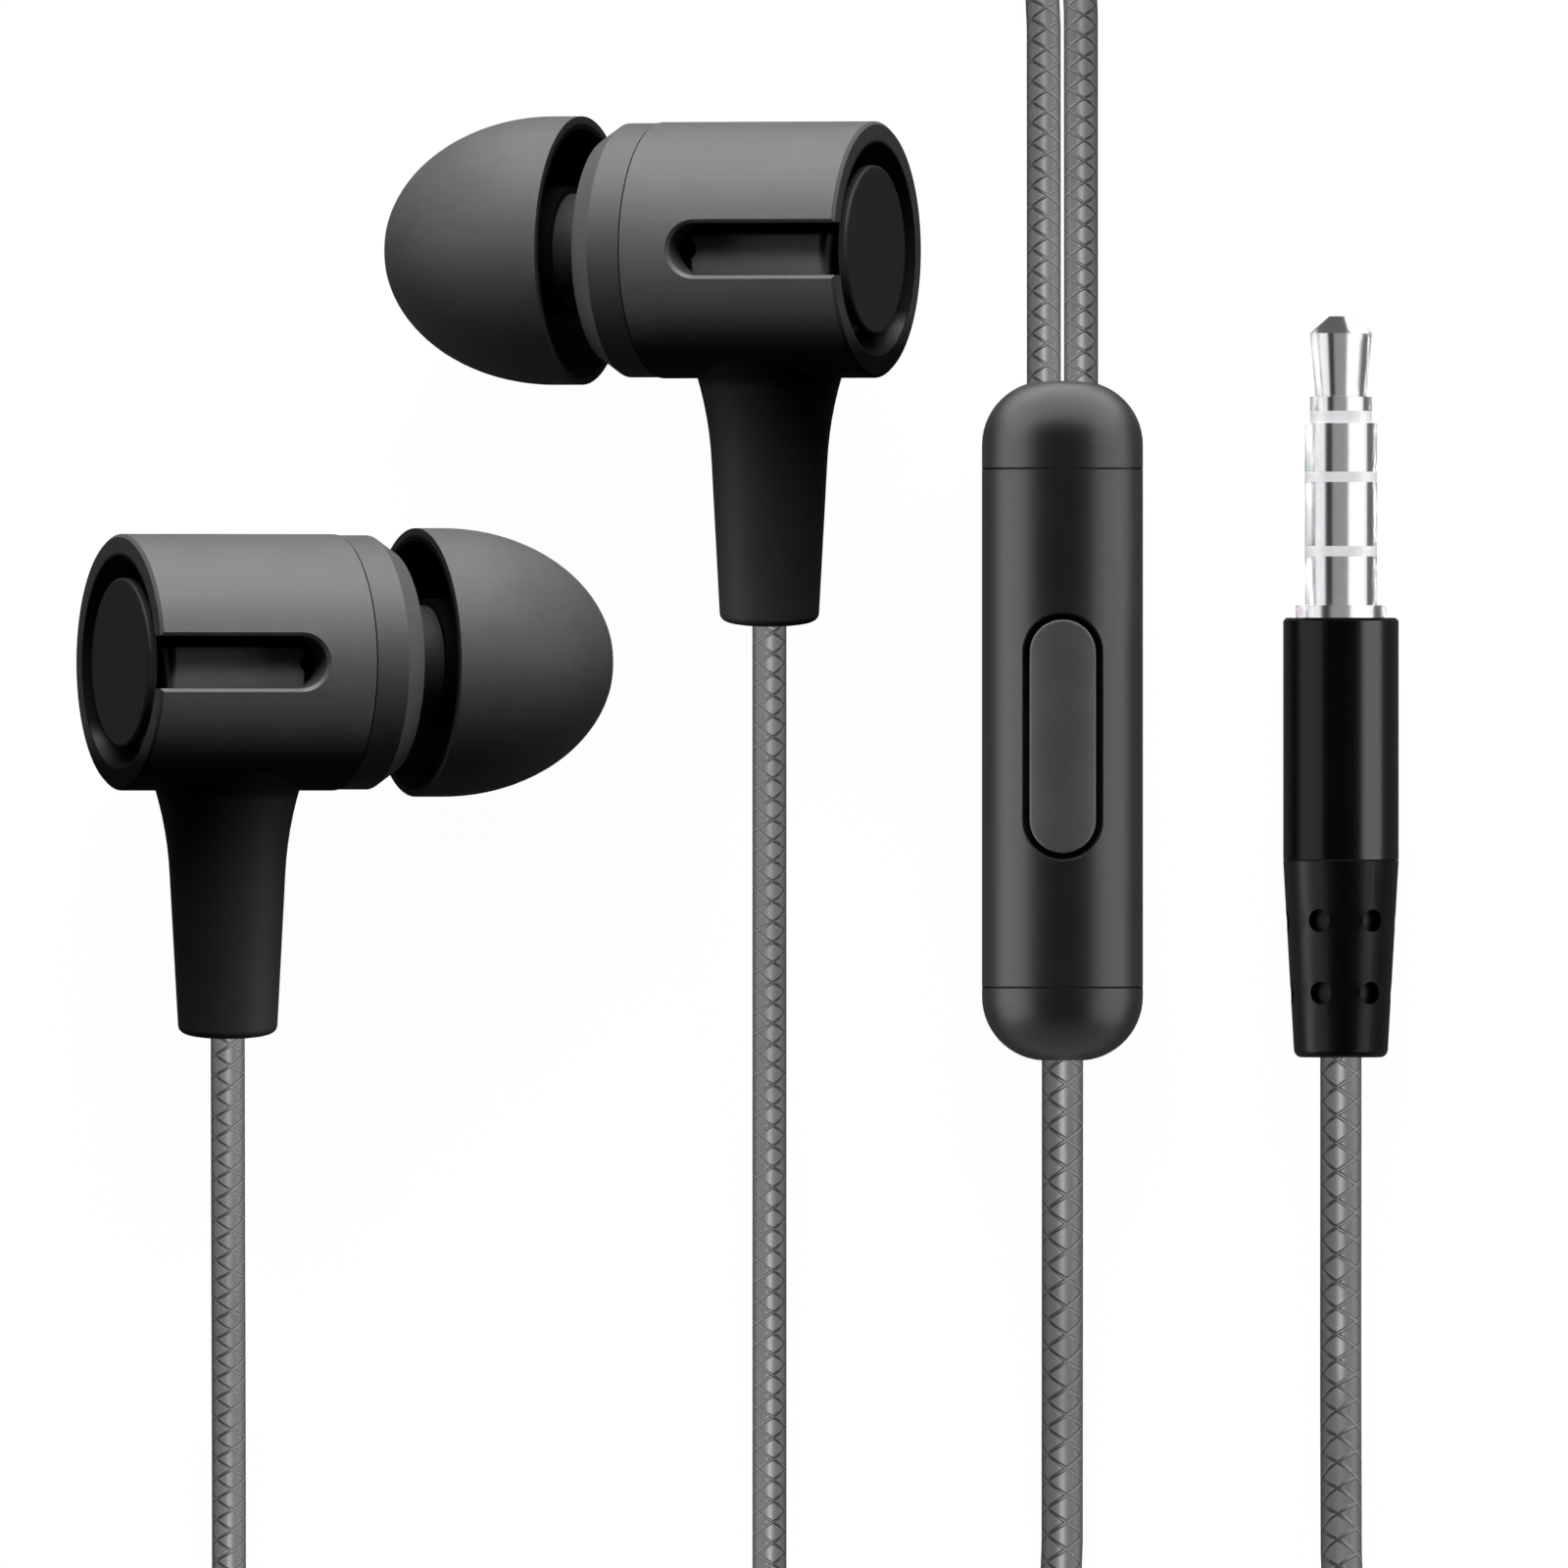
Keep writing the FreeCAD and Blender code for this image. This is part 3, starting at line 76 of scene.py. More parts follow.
BRANCH = 1.65
MAIN = 2.0
STEPS_PER_TURN = 24
SPLINE_STEPS = 6
LAYER_CHANGE_TURNS = 0.25
CORD_UV = "along_and_round"
# How far a cord's surface faces its side lamp, which places painted light and shade in its grooves
CORD_LIGHT_FACING = "light_facing"
SHORTEST_STEP = 1e-7


def coil_points(centre, start_turn, sense, turns, layers, mean_radius, cord):
    """Control points of a flat coil, in millimetres, for a spline through the middles of its runs.

    The angle grows evenly, and a point stands half a step past each step. In each layer the radius
    runs from one edge of the coil to the other at one cord's thickness a turn, inwards and outwards
    by turns, and the height rises by one thickness in the quarter turn around each change of layer.
    """
    count = int(round(turns * STEPS_PER_TURN))
    turn = (np.arange(count) + 0.5) * turns / count
    per_layer = turns / layers
    layer = np.minimum(np.floor(turn / per_layer), layers - 1)
    inside = turn - layer * per_layer
    swing = np.where(layer % 2 == 0, inside, per_layer - inside)
    radius = (mean_radius + (per_layer / 2 - swing) * cord) / math.cos(math.pi / STEPS_PER_TURN)
    changes = np.arange(1, layers) * per_layer
    rise = np.clip((turn[:, None] - changes[None, :]) / LAYER_CHANGE_TURNS + 0.5, 0, 1)
    height = cord * (0.5 + (rise * rise * (3 - 2 * rise)).sum(axis=1))
    angle = 2 * math.pi * (start_turn + sense * turn)
    return np.stack([centre[0] + radius * np.cos(angle), centre[1] + radius * np.sin(angle), height], axis=1)


def spline_line(name, points):
    """Points along the NURBS spline, order 3, that has these control points."""
    curve = bpy.data.curves.new(name + "_line", "CURVE")
    curve.dimensions = "3D"
    spline = curve.splines.new("NURBS")
    spline.points.add(len(points) - 1)
    flat = np.ones((len(points), 4))
    flat[:, :3] = points * MM
    spline.points.foreach_set("co", flat.ravel())
    spline.order_u = 3
    spline.use_endpoint_u = True
    spline.resolution_u = SPLINE_STEPS
    holder = bpy.data.objects.new(name + "_line", curve)
    scene.collection.objects.link(holder)
    bpy.context.view_layer.update()
    mesh = bpy.data.meshes.new_from_object(holder)
    line = np.zeros(len(mesh.vertices) * 3)
    mesh.vertices.foreach_get("co", line)
    line = line.reshape(-1, 3)
    bpy.data.meshes.remove(mesh)
    bpy.data.objects.remove(holder)
    step = np.linalg.norm(np.diff(line, axis=0), axis=1)
    return line[np.concatenate([[True], step > SHORTEST_STEP])]


def grid_piece(name, places, round_rows=False, round_columns=False, uv=None, capped=False, smooth=True):
    """A piece with one quad per cell of a grid of places, closed round its rows or columns if asked.

    Where it is capped, a flat face closes each end of the tube. uv holds one (u, v) per corner of the
    grid, with one more column than places where the columns go round, and the caps get (0, 0).
    """
    rows, columns = places.shape[:2]
    row, column = np.meshgrid(np.arange(rows if round_rows else rows - 1),
                              np.arange(columns if round_columns else columns - 1), indexing="ij")
    below, beside = (row + 1) % rows, (column + 1) % columns
    faces = np.stack([row * columns + column, row * columns + beside,
                      below * columns + beside, below * columns + column], axis=-1).reshape(-1, 4).tolist()
    if capped:
        first_ring = np.arange(columns)
        faces += [first_ring[::-1].tolist(), (first_ring + (rows - 1) * columns).tolist()]
    mesh = bpy.data.meshes.new(name)
    mesh.from_pydata(places.reshape(-1, 3).tolist(), [], faces)
    if uv is not None:
        corners = np.stack([uv[row, column], uv[row, column + 1],
                            uv[row + 1, column + 1], uv[row + 1, column]], axis=2).ravel()
        corners = np.concatenate([corners, np.zeros(len(mesh.loops) * 2 - len(corners))])
        mesh.uv_layers.new(name=CORD_UV).data.foreach_set("uv", corners.astype(np.float32))
    if smooth:
        mesh.shade_smooth()
    piece = bpy.data.objects.new(name, mesh)
    scene.collection.objects.link(piece)
    return piece


def cord_tube(name, points, thickness, sides, lit_side):
    """A round tube along the spline.

    A point is the line's place plus radius times (cos a of the line's up normal + sin a of its side),
    for a once round. Its UV is the length so far in millimetres, and the share of the way round. Its
    light-facing value, which places the painted light and shade in its grooves, is how far it faces
    right, towards its side lamp, or left where the lit side given is -1, from -1 to 1.
    """
    line = spline_line(name, points)
    along = np.gradient(line, axis=0)
    along /= np.linalg.norm(along, axis=1, keepdims=True)
    up = np.array([0.0, 0.0, 1.0]) - along * along[:, 2:3]
    up /= np.linalg.norm(up, axis=1, keepdims=True)
    side = np.cross(along, up)
    turn = np.arange(sides + 1) / sides
    angle = 2 * math.pi * turn[None, :, None]
    ring = np.cos(angle) * up[:, None, :] + np.sin(angle) * side[:, None, :]
    places = line[:, None, :] + ring[:, :sides] * thickness / 2 * MM
    length = np.concatenate([[0], np.cumsum(np.linalg.norm(np.diff(line, axis=0), axis=1))])
    uv = np.stack(np.broadcast_arrays(length[:, None] / MM, turn[None, :]), axis=-1)
    piece = grid_piece(name, places, round_columns=True, uv=uv, capped=True)
    light_facing = piece.data.attributes.new(CORD_LIGHT_FACING, "FLOAT", "POINT")
    light_facing.data.foreach_set("value", (lit_side * ring[:, :sides, 0]).astype(np.float32).ravel())
    return piece, line, float(length[-1])


def stack(*parts):
    """Joins stretches of control points."""
    return np.concatenate([np.asarray(part, float) for part in parts])


def left_cord_points():
    """From the left stem to its coil, and round the top to the pod."""
    return stack(
        [(-13.095, -19.411, 8.345), (-13.093, -25.345, 7.454), (-13.095, -31.9, 5.6),
         (-13.095, -37.2, 3.5), (-13.095, -43.4, 1.75), (-13.095, -51.8, 0.95), (-13.095, -60.3, 0.825)],
        coil_points((-23.201, -61.3), start_turn=0, sense=-1, turns=4.5, layers=2, mean_radius=8.25,
                    cord=BRANCH),
        [(-33.307, -60.3, 2.475), (-33.307, -51.5, 2.2), (-32.107, -39.5, 0.825), (-29.0, -20.0, 0.825),
         (-27.6, 6.0, 0.825), (-28.0, 26.0, 0.825), (-20.0, 36.0, 0.825), (-6.0, 38.4, 0.825),
         (10.0, 38.0, 0.825), (20.6, 36.4, 0.825), (26.38, 31.6, 1.1), (26.38, 22.0, 2.9),
         (26.38, 12.55, 3.9), (26.38, 6.55, 3.9)])


def right_cord_points():
    """From the right stem to its coil, and outside the left cord to the pod."""
    return stack(
        [(13.095, 0.509, 8.345), (13.093, -5.425, 7.454), (13.095, -12.5, 5.8), (13.095, -20.0, 3.7),
         (13.095, -29.0, 1.95), (13.095, -40.5, 1.1), (13.095, -52.5, 0.825), (13.095, -63.3, 0.825)],
        coil_points((2.567, -64.3), start_turn=0, sense=-1, turns=2.25, layers=2, mean_radius=9.6,
                    cord=BRANCH),
        [(1.567, -74.828, 2.475), (-6.933, -74.828, 2.2), (-18.0, -75.128, 0.825),
         (-28.0, -75.328, 0.825), (-35.9, -68.8, 0.825), (-36.6, -56.5, 0.825), (-35.4, -38.0, 0.825),
         (-32.6, -14.0, 0.825), (-31.0, 10.0, 0.825), (-31.3, 28.0, 0.825), (-22.0, 38.8, 0.825),
         (-7.0, 41.4, 0.825), (9.0, 41.0, 0.825), (21.4, 39.0, 0.825), (28.18, 32.8, 1.0),
         (28.18, 22.4, 2.9), (28.18, 12.55, 3.9), (28.18, 6.55, 3.9)])


def main_cord_points():
    """From the pod's lower end to the coil below, and back up to the plug."""
    return stack(
        [(27.28, -20.45, 3.9), (27.28, -27.55, 3.9), (27.28, -35.0, 3.0), (27.28, -42.6, 1.25),
         (27.28, -50.95, 1.0), (23.165, -58.077, 1.0)],
        coil_points((34.025, -65.5), start_turn=5 / 12, sense=1, turns=29 / 3, layers=4, mean_radius=10.7,
                    cord=MAIN),
        [(44.385, -57.21, 7.0), (40.77, -50.95, 6.4), (40.77, -43.6, 3.4), (40.77, -37.2, 1.35),
         (40.77, -28.8, 2.8), (40.77, -20.4, 2.8)])


# Shared shader groups

def group_nodes(name, inputs, outputs):
    """Starts a node group with its sockets, and returns it with its ends."""
    group = bpy.data.node_groups.new(name, "ShaderNodeTree")
    for label, kind, default in inputs:
        socket = group.interface.new_socket(label, in_out="INPUT", socket_type=kind)
        if default is not None:
            socket.default_value = default
    for label, kind in outputs:
        group.interface.new_socket(label, in_out="OUTPUT", socket_type=kind)
    return group, group.nodes.new("NodeGroupInput"), group.nodes.new("NodeGroupOutput")


def math_node(tree, operation, first, second=None, third=None, clamp=False):
    """A Math node with links or numbers on its inputs, giving its output."""
    node = tree.nodes.new("ShaderNodeMath")
    node.operation = operation
    node.use_clamp = clamp
    for socket, source in zip(node.inputs, (first, second, third)):
        if source is None:
            continue
        if isinstance(source, (int, float)):
            socket.default_value = source
        else:
            tree.links.new(source, socket)
    return node.outputs[0]


def noise(tree, vector, scale, detail, roughness):
    """A noise's value, at a scale that is a number or a link."""
    node = tree.nodes.new("ShaderNodeTexNoise")
    node.inputs["Detail"].default_value = detail
    node.inputs["Roughness"].default_value = roughness
    tree.links.new(vector, node.inputs["Vector"])
    if isinstance(scale, (int, float)):
        node.inputs["Scale"].default_value = scale
    else:
        tree.links.new(scale, node.inputs["Scale"])
    return node.outputs["Fac"]


def ramp_between(tree, value, low, high, smooth=True):
    """Maps a value from low..high to 0..1."""
    node = tree.nodes.new("ShaderNodeMapRange")
    node.interpolation_type = "SMOOTHSTEP" if smooth else "LINEAR"
    tree.links.new(value, node.inputs["Value"])
    node.inputs["From Min"].default_value = low
    node.inputs["From Max"].default_value = high
    return node.outputs["Result"]


def mix_colour(tree, factor, first, second):
    """Mixes two colours by a factor."""
    node = tree.nodes.new("ShaderNodeMix")
    node.data_type = "RGBA"
    for socket, source in ((node.inputs[0], factor), (node.inputs[6], first), (node.inputs[7], second)):
        if isinstance(source, (int, float, tuple)):
            socket.default_value = source
        else:
            tree.links.new(source, socket)
    return node.outputs[2]


SLOW_SCALE = 420.0
NOISE_DETAIL = 3.0
FINE_NOISE_ROUGHNESS = 0.6
SLOW_NOISE_ROUGHNESS = 0.55
FINE_SHARE = 0.55
BLEND_RANGE = (0.32, 0.68)
GROOVE_STARTS = 3.0
GROOVE_WALLS = (1.0, 0.25)


def make_grain_group():
    """Moulded grain: fine pits, and slow changes of shade and gloss.

    The shade follows a blend of a fine and a slow noise, the gloss the slow one and the relief the
    fine one.
    """
    group, start, end = group_nodes("moulded_grain", [
        ("Vector", "NodeSocketVector", None),
        ("Grain Scale", "NodeSocketFloat", 7000.0),
        ("Shade", "NodeSocketColor", (0.02, 0.02, 0.02, 1)),
        ("Light Shade", "NodeSocketColor", (0.03, 0.03, 0.03, 1)),
        ("Roughness", "NodeSocketFloat", 0.5),
        ("Roughness Spread", "NodeSocketFloat", 0.06),
    ], [("Colour", "NodeSocketColor"), ("Roughness", "NodeSocketFloat"), ("Height", "NodeSocketFloat")])
    vector = start.outputs["Vector"]
    fine = noise(group, vector, start.outputs["Grain Scale"], NOISE_DETAIL, FINE_NOISE_ROUGHNESS)
    slow = noise(group, vector, SLOW_SCALE, NOISE_DETAIL, SLOW_NOISE_ROUGHNESS)
    fine_part = math_node(group, "MULTIPLY", fine, FINE_SHARE)
    blend = math_node(group, "ADD", fine_part, math_node(group, "MULTIPLY", slow, 1 - FINE_SHARE))
    factor = ramp_between(group, blend, *BLEND_RANGE)
    group.links.new(mix_colour(group, factor, start.outputs["Shade"], start.outputs["Light Shade"]),
                    end.inputs["Colour"])
    offset = math_node(group, "MULTIPLY", math_node(group, "SUBTRACT", slow, 0.5),
                       start.outputs["Roughness Spread"])
    group.links.new(math_node(group, "ADD", start.outputs["Roughness"], offset, clamp=True),
                    end.inputs["Roughness"])
    group.links.new(fine, end.inputs["Height"])
    return group


def make_groove_group():
    """Crossing helical grooves on a cord: three each way, a spacing apart along its length.

    The phase of a helix is length / spacing + starts x share of the way round, or minus that. A
    groove is where the phase is near a whole number.
    """
    group, start, end = group_nodes("crossed_grooves", [
        ("UV", "NodeSocketVector", None),
        ("Spacing", "NodeSocketFloat", 1.0),
        ("Half Width", "NodeSocketFloat", 0.1),
        ("Turned", "NodeSocketFloat", 0.0),
    ], [("Groove", "NodeSocketFloat"), ("Height", "NodeSocketFloat")])
    split = group.nodes.new("ShaderNodeSeparateXYZ")
    group.links.new(start.outputs["UV"], split.inputs[0])
    along = math_node(group, "DIVIDE", split.outputs["X"], start.outputs["Spacing"])
    turned = math_node(group, "ADD", split.outputs["Y"], start.outputs["Turned"])
    round_part = math_node(group, "MULTIPLY", turned, GROOVE_STARTS)
    hollows = []
    for operation in ("ADD", "SUBTRACT"):
        phase = math_node(group, operation, along, round_part)
        distance = math_node(group, "PINGPONG", phase, 0.5)
        share = math_node(group, "DIVIDE", distance, start.outputs["Half Width"])
        hollows.append(ramp_between(group, share, *GROOVE_WALLS))
    groove = math_node(group, "MAXIMUM", hollows[0], hollows[1])
    group.links.new(groove, end.inputs["Groove"])
    group.links.new(math_node(group, "SUBTRACT", 1.0, groove), end.inputs["Height"])
    return group


GRAIN = make_grain_group()
GROOVES = make_groove_group()


# Materials

def new_material(name):
    """A material with one surface shader, as yet with no finish of its own."""
    material = bpy.data.materials.new(name)
    material.use_nodes = True
    tree = material.node_tree
    tree.nodes.clear()
    shader = tree.nodes.new("ShaderNodeBsdfPrincipled")
    output = tree.nodes.new("ShaderNodeOutputMaterial")
    tree.links.new(shader.outputs[0], output.inputs["Surface"])
    return material, tree, shader


def grained_parts(name, shade, lighter, roughness, spread=0.06, grain=7000.0, bump=0.00001, strength=0.25,
                  specular=0.5, metallic=0.0):
    """A moulded or plated finish: two near shades, uneven gloss and a fine relief."""
    material, tree, shader = new_material(name)
    place = tree.nodes.new("ShaderNodeTexCoord")
    group = tree.nodes.new("ShaderNodeGroup")
    group.node_tree = GRAIN
    tree.links.new(place.outputs["Object"], group.inputs["Vector"])
    group.inputs["Grain Scale"].default_value = grain
    group.inputs["Shade"].default_value = (*shade, 1)
    group.inputs["Light Shade"].default_value = (*lighter, 1)
    group.inputs["Roughness"].default_value = roughness
    group.inputs["Roughness Spread"].default_value = spread
    relief = tree.nodes.new("ShaderNodeBump")
    relief.inputs["Strength"].default_value = strength
    relief.inputs["Distance"].default_value = bump
    tree.links.new(group.outputs["Height"], relief.inputs["Height"])
    tree.links.new(group.outputs["Colour"], shader.inputs["Base Color"])
    tree.links.new(group.outputs["Roughness"], shader.inputs["Roughness"])
    tree.links.new(relief.outputs["Normal"], shader.inputs["Normal"])
    shader.inputs["Specular IOR Level"].default_value = specular
    shader.inputs["Metallic"].default_value = metallic
    return material, tree, shader


def grained(*sizes, **others):
    """The finished material of a moulded or plated finish."""
    return grained_parts(*sizes, **others)[0]


def grey(level):
    """A neutral shade."""
    return (level, level, level * 1.03)


CORD_SHADES = (0.1, 0.12)
CORD_ROUGHNESS = 0.4
CORD_GLOSS = 0.55
GROOVE_HALF_WIDTH = 0.105
# The grooves' painted shade, on the side away from the light, and painted light, on the lit side
GROOVE_SHADE_AND_LIGHT = (0.03, 0.15)
GROOVE_RELIEF = 0.06
RELIEF_STRENGTH = 0.9
# How far a cord faces its side lamp where its grooves turn from painted shade to painted light, and where
# they fade out
GROOVE_LIGHTING_RANGE = (-0.1, 0.45)
FADING_RANGE = (-0.85, -0.5)


def embossed_cord(name, spacing, turned):
    """Satin rubber with crossing grooves, with painted shade in them on the cord's side away from its
    side lamp and painted light on the side that faces it.

    The grooves' colour goes from the painted shade to the painted light over the lit range of how
    far the cord faces its side lamp, and they fade out towards its edge farthest from that lamp over
    the fading range.
    """
    material, tree, shader = new_material(name)
    uv = tree.nodes.new("ShaderNodeUVMap")
    uv.uv_map = CORD_UV
    grooves = tree.nodes.new("ShaderNodeGroup")
    grooves.node_tree = GROOVES
    tree.links.new(uv.outputs["UV"], grooves.inputs["UV"])
    grooves.inputs["Spacing"].default_value = spacing
    grooves.inputs["Half Width"].default_value = GROOVE_HALF_WIDTH
    grooves.inputs["Turned"].default_value = turned
    place = tree.nodes.new("ShaderNodeTexCoord")
    grain = tree.nodes.new("ShaderNodeGroup")
    grain.node_tree = GRAIN
    tree.links.new(place.outputs["Object"], grain.inputs["Vector"])
    grain.inputs["Shade"].default_value = (*grey(CORD_SHADES[0]), 1)
    grain.inputs["Light Shade"].default_value = (*grey(CORD_SHADES[1]), 1)
    grain.inputs["Roughness"].default_value = CORD_ROUGHNESS
    light_facing = tree.nodes.new("ShaderNodeAttribute")
    light_facing.attribute_name = CORD_LIGHT_FACING
    lit_share = ramp_between(tree, light_facing.outputs["Fac"], *GROOVE_LIGHTING_RANGE)
    groove_shading = mix_colour(tree, lit_share, (*grey(GROOVE_SHADE_AND_LIGHT[0]), 1), (*grey(GROOVE_SHADE_AND_LIGHT[1]), 1))
    kept = ramp_between(tree, light_facing.outputs["Fac"], *FADING_RANGE)
    depth = math_node(tree, "MULTIPLY", grooves.outputs["Groove"], kept)
    colour = mix_colour(tree, depth, grain.outputs["Colour"], groove_shading)
    relief = tree.nodes.new("ShaderNodeBump")
    relief.inputs["Strength"].default_value = RELIEF_STRENGTH
    relief.inputs["Distance"].default_value = GROOVE_RELIEF * MM
    tree.links.new(grooves.outputs["Height"], relief.inputs["Height"])
    tree.links.new(colour, shader.inputs["Base Color"])
    tree.links.new(grain.outputs["Roughness"], shader.inputs["Roughness"])
    tree.links.new(relief.outputs["Normal"], shader.inputs["Normal"])
    shader.inputs["Specular IOR Level"].default_value = CORD_GLOSS
    return material


# Finishes with painted shade in a piece's hollows and on its shaded parts, by place

# Painted shade: the near-black colour put where shade falls, and the share of gloss taken away there
PAINTED_SHADE = 0.003
PAINTED_SHADE_GLOSS_LOSS = 0.95

# An earpiece's sizes along its nozzle's axis and from it, with the middle of its tip as the start, that
# place its painted shade

TILT = math.radians(20.5)
TIP_MIDDLE = {"left": (-2.721, -4.083, 6.777), "right": (2.721, 15.837, 6.777)}
TIP_REACH = 8.5
TIP_RADIUS = 6.5
TIP_SKIRT = 1.4
BELL_INSIDE = (0.99, 0.93)
RIM_END = (-0.975, -0.995)
RIM_SHARE = 0.55
BARREL_BACK = -16.64
RECESS_DEPTH = 0.9
RECESS_RADIUS = 5.15
RECESS_UPPER_PART = (-4.4, -2.8)
STEM_PALER = (-24, -7)
STEM_SHARES = (0.41, 0.86)
STEM_ROOT = (-9.0, -6.0)
BARREL_UNDERSIDE = (-2.7, -5.1)
COLLAR_RADIUS = 2.75
SHELL_UNDERSIDE = (-3.2, -5.6)
SHELL_SHARE = 0.6
SLOT_FAR_EDGE = (0.6, 0.8)
VENT_PLACE = -8.55
VENT_EDGE = 0.1
CORNER = (0.2, 0.05)

# The pod's sizes along its own axis and from it, that place the painted shade in its seams

POD_AXIS = (27.28, 0.0, 3.9)
POD_RADIUS = 3.9
POD_BELOW_SKIN = (0.05, 0.12)
POD_TUBE_TOP = 5.36
POD_TUBE_END = -19.86


def axis_parts(tree, middle, turn):
    """Place along X, place along Y and distance from the X axis, of axes turned about a middle.

    The middle and the three answers are in millimetres.
    """
    place = tree.nodes.new("ShaderNodeTexCoord")
    turned = tree.nodes.new("ShaderNodeMapping")
    turned.vector_type = "TEXTURE"
    turned.inputs["Location"].default_value = [part * MM for part in middle]
    turned.inputs["Rotation"].default_value = turn
    turned.inputs["Scale"].default_value = (MM, MM, MM)
    tree.links.new(place.outputs["Object"], turned.inputs["Vector"])
    split = tree.nodes.new("ShaderNodeSeparateXYZ")
    tree.links.new(turned.outputs["Vector"], split.inputs[0])
    return split.outputs["X"], split.outputs["Y"], two_sides(tree, split.outputs["Y"], split.outputs["Z"])


def two_sides(tree, first, second):
    """The square root of first squared plus second squared."""
    squares = [math_node(tree, "MULTIPLY", side, side) for side in (first, second)]
    return math_node(tree, "SQRT", math_node(tree, "ADD", *squares))


def tip_painted_shade(tree, along, north, off_axis):
    """Painted shade inside the bell, and about half as much on the flat end of its rim.

    The bell's skin is where (place past the widest round / reach) and (distance from the axis /
    radius) are the two sides of a right angle whose long side is one.
    """
    ahead = math_node(tree, "DIVIDE", math_node(tree, "MAXIMUM", along, 0), TIP_REACH)
    aside = math_node(tree, "DIVIDE", off_axis, TIP_RADIUS)
    inside = ramp_between(tree, two_sides(tree, ahead, aside), *BELL_INSIDE)
    rim = ramp_between(tree, along, RIM_END[0] * TIP_SKIRT, RIM_END[1] * TIP_SKIRT)
    return math_node(tree, "MAXIMUM", inside, math_node(tree, "MULTIPLY", rim, RIM_SHARE))


def housing_painted_shade(tree, along, north, off_axis):
    """Painted shade in the recess behind the back ring, but for its lower end, and on the barrel's
    underside; and the barrel's painted shadow on the stem.

    The stem's painted shadow is darkest at its root, and its share falls evenly from there to its
    free end.
    """
    recess_floor = BARREL_BACK + RECESS_DEPTH
    behind = ramp_between(tree, along, recess_floor + CORNER[1], recess_floor)
    within = ramp_between(tree, off_axis, RECESS_RADIUS + CORNER[0], RECESS_RADIUS + CORNER[1])
    above = ramp_between(tree, north, *RECESS_UPPER_PART)
    recess = math_node(tree, "MULTIPLY", above, math_node(tree, "MULTIPLY", behind, within))
    up_stem = ramp_between(tree, north, *STEM_PALER, smooth=False)
    share = math_node(tree, "MULTIPLY_ADD", up_stem, STEM_SHARES[1] - STEM_SHARES[0], STEM_SHARES[0])
    share = math_node(tree, "MAXIMUM", share, ramp_between(tree, north, *STEM_ROOT))
    stem = math_node(tree, "MULTIPLY", ramp_between(tree, north, *BARREL_UNDERSIDE), share)
    return math_node(tree, "MAXIMUM", recess, stem)


def shell_painted_shade(tree, along, north, off_axis):
    """Painted shade, in part, on the nozzle in the shade of the bell and on the underside."""
    nozzle = ramp_between(tree, off_axis, COLLAR_RADIUS + CORNER[0], COLLAR_RADIUS + CORNER[1])
    underside = ramp_between(tree, north, *SHELL_UNDERSIDE)
    return math_node(tree, "MULTIPLY", math_node(tree, "MAXIMUM", nozzle, underside), SHELL_SHARE)


def chamber_painted_shade(tree, along, north, off_axis):
    """Painted shadow under the slot's far edge, and painted shade from the vent to the slot's rounded end.
    """
    far_edge = ramp_between(tree, north, *SLOT_FAR_EDGE)
    past_vent = ramp_between(tree, along, VENT_PLACE - VENT_EDGE, VENT_PLACE)
    return math_node(tree, "MAXIMUM", far_edge, past_vent)


def pod_painted_shade(tree, along, north, off_axis):
    """Painted shade on anything below the tube's skin between the outer edges of the two seams."""
    below = ramp_between(tree, off_axis, POD_RADIUS - POD_BELOW_SKIN[0], POD_RADIUS - POD_BELOW_SKIN[1])
    past_top = math_node(tree, "LESS_THAN", along, POD_TUBE_TOP)
    before_end = math_node(tree, "GREATER_THAN", along, POD_TUBE_END)
    return math_node(tree, "MULTIPLY", below, math_node(tree, "MULTIPLY", past_top, before_end))


def with_painted_shade(made, rule, middle, turn):
    """The finish just made, with painted shade: turned near black and matt where a rule for the piece's
    hollows and shaded parts says.
    """
    material, tree, shader = made
    shade_share = rule(tree, *axis_parts(tree, middle, turn))
    skin = shader.inputs["Base Color"].links[0].from_socket
    level = shader.inputs["Specular IOR Level"].default_value
    tree.links.new(mix_colour(tree, shade_share, skin, (*grey(PAINTED_SHADE), 1)), shader.inputs["Base Color"])
    gloss = math_node(tree, "MULTIPLY_ADD", shade_share, -PAINTED_SHADE_GLOSS_LOSS * level, level)
    tree.links.new(gloss, shader.inputs["Specular IOR Level"])
    return material


SILICONE_RELIEF = {"grain": 2500.0, "strength": 0.08, "specular": 0.35}
SHELL_RELIEF = {"grain": 4000.0, "strength": 0.1, "specular": 0.45}
# Each outer piece's finish: name, skin shades and roughness, relief, and the rule for its painted shade
BUD_SLOTS = {
    "housing_plastic": ("barrel_black_", (grey(0.024), grey(0.032), 0.6), {}, housing_painted_shade),
    "shell_plastic": ("shell_satin_", (grey(0.024), grey(0.028), 0.57), SHELL_RELIEF, shell_painted_shade),
    "chamber_plastic": ("chamber_grey_", (grey(0.09), grey(0.11), 0.6), {}, chamber_painted_shade),
    "tip_silicone": ("tip_silicone_", (grey(0.034), grey(0.04), 0.6), SILICONE_RELIEF, tip_painted_shade),
}


def bud_finish(side, slot):
    """The finish of one of an earpiece's outer pieces, with its painted shade along the axis of its own
    side.
    """
    name, skin, relief, rule = BUD_SLOTS[slot]
    turn = (0, TILT if side == "left" else math.pi - TILT, 0)
    return with_painted_shade(grained_parts(name + side, *skin, **relief), rule, TIP_MIDDLE[side], turn)


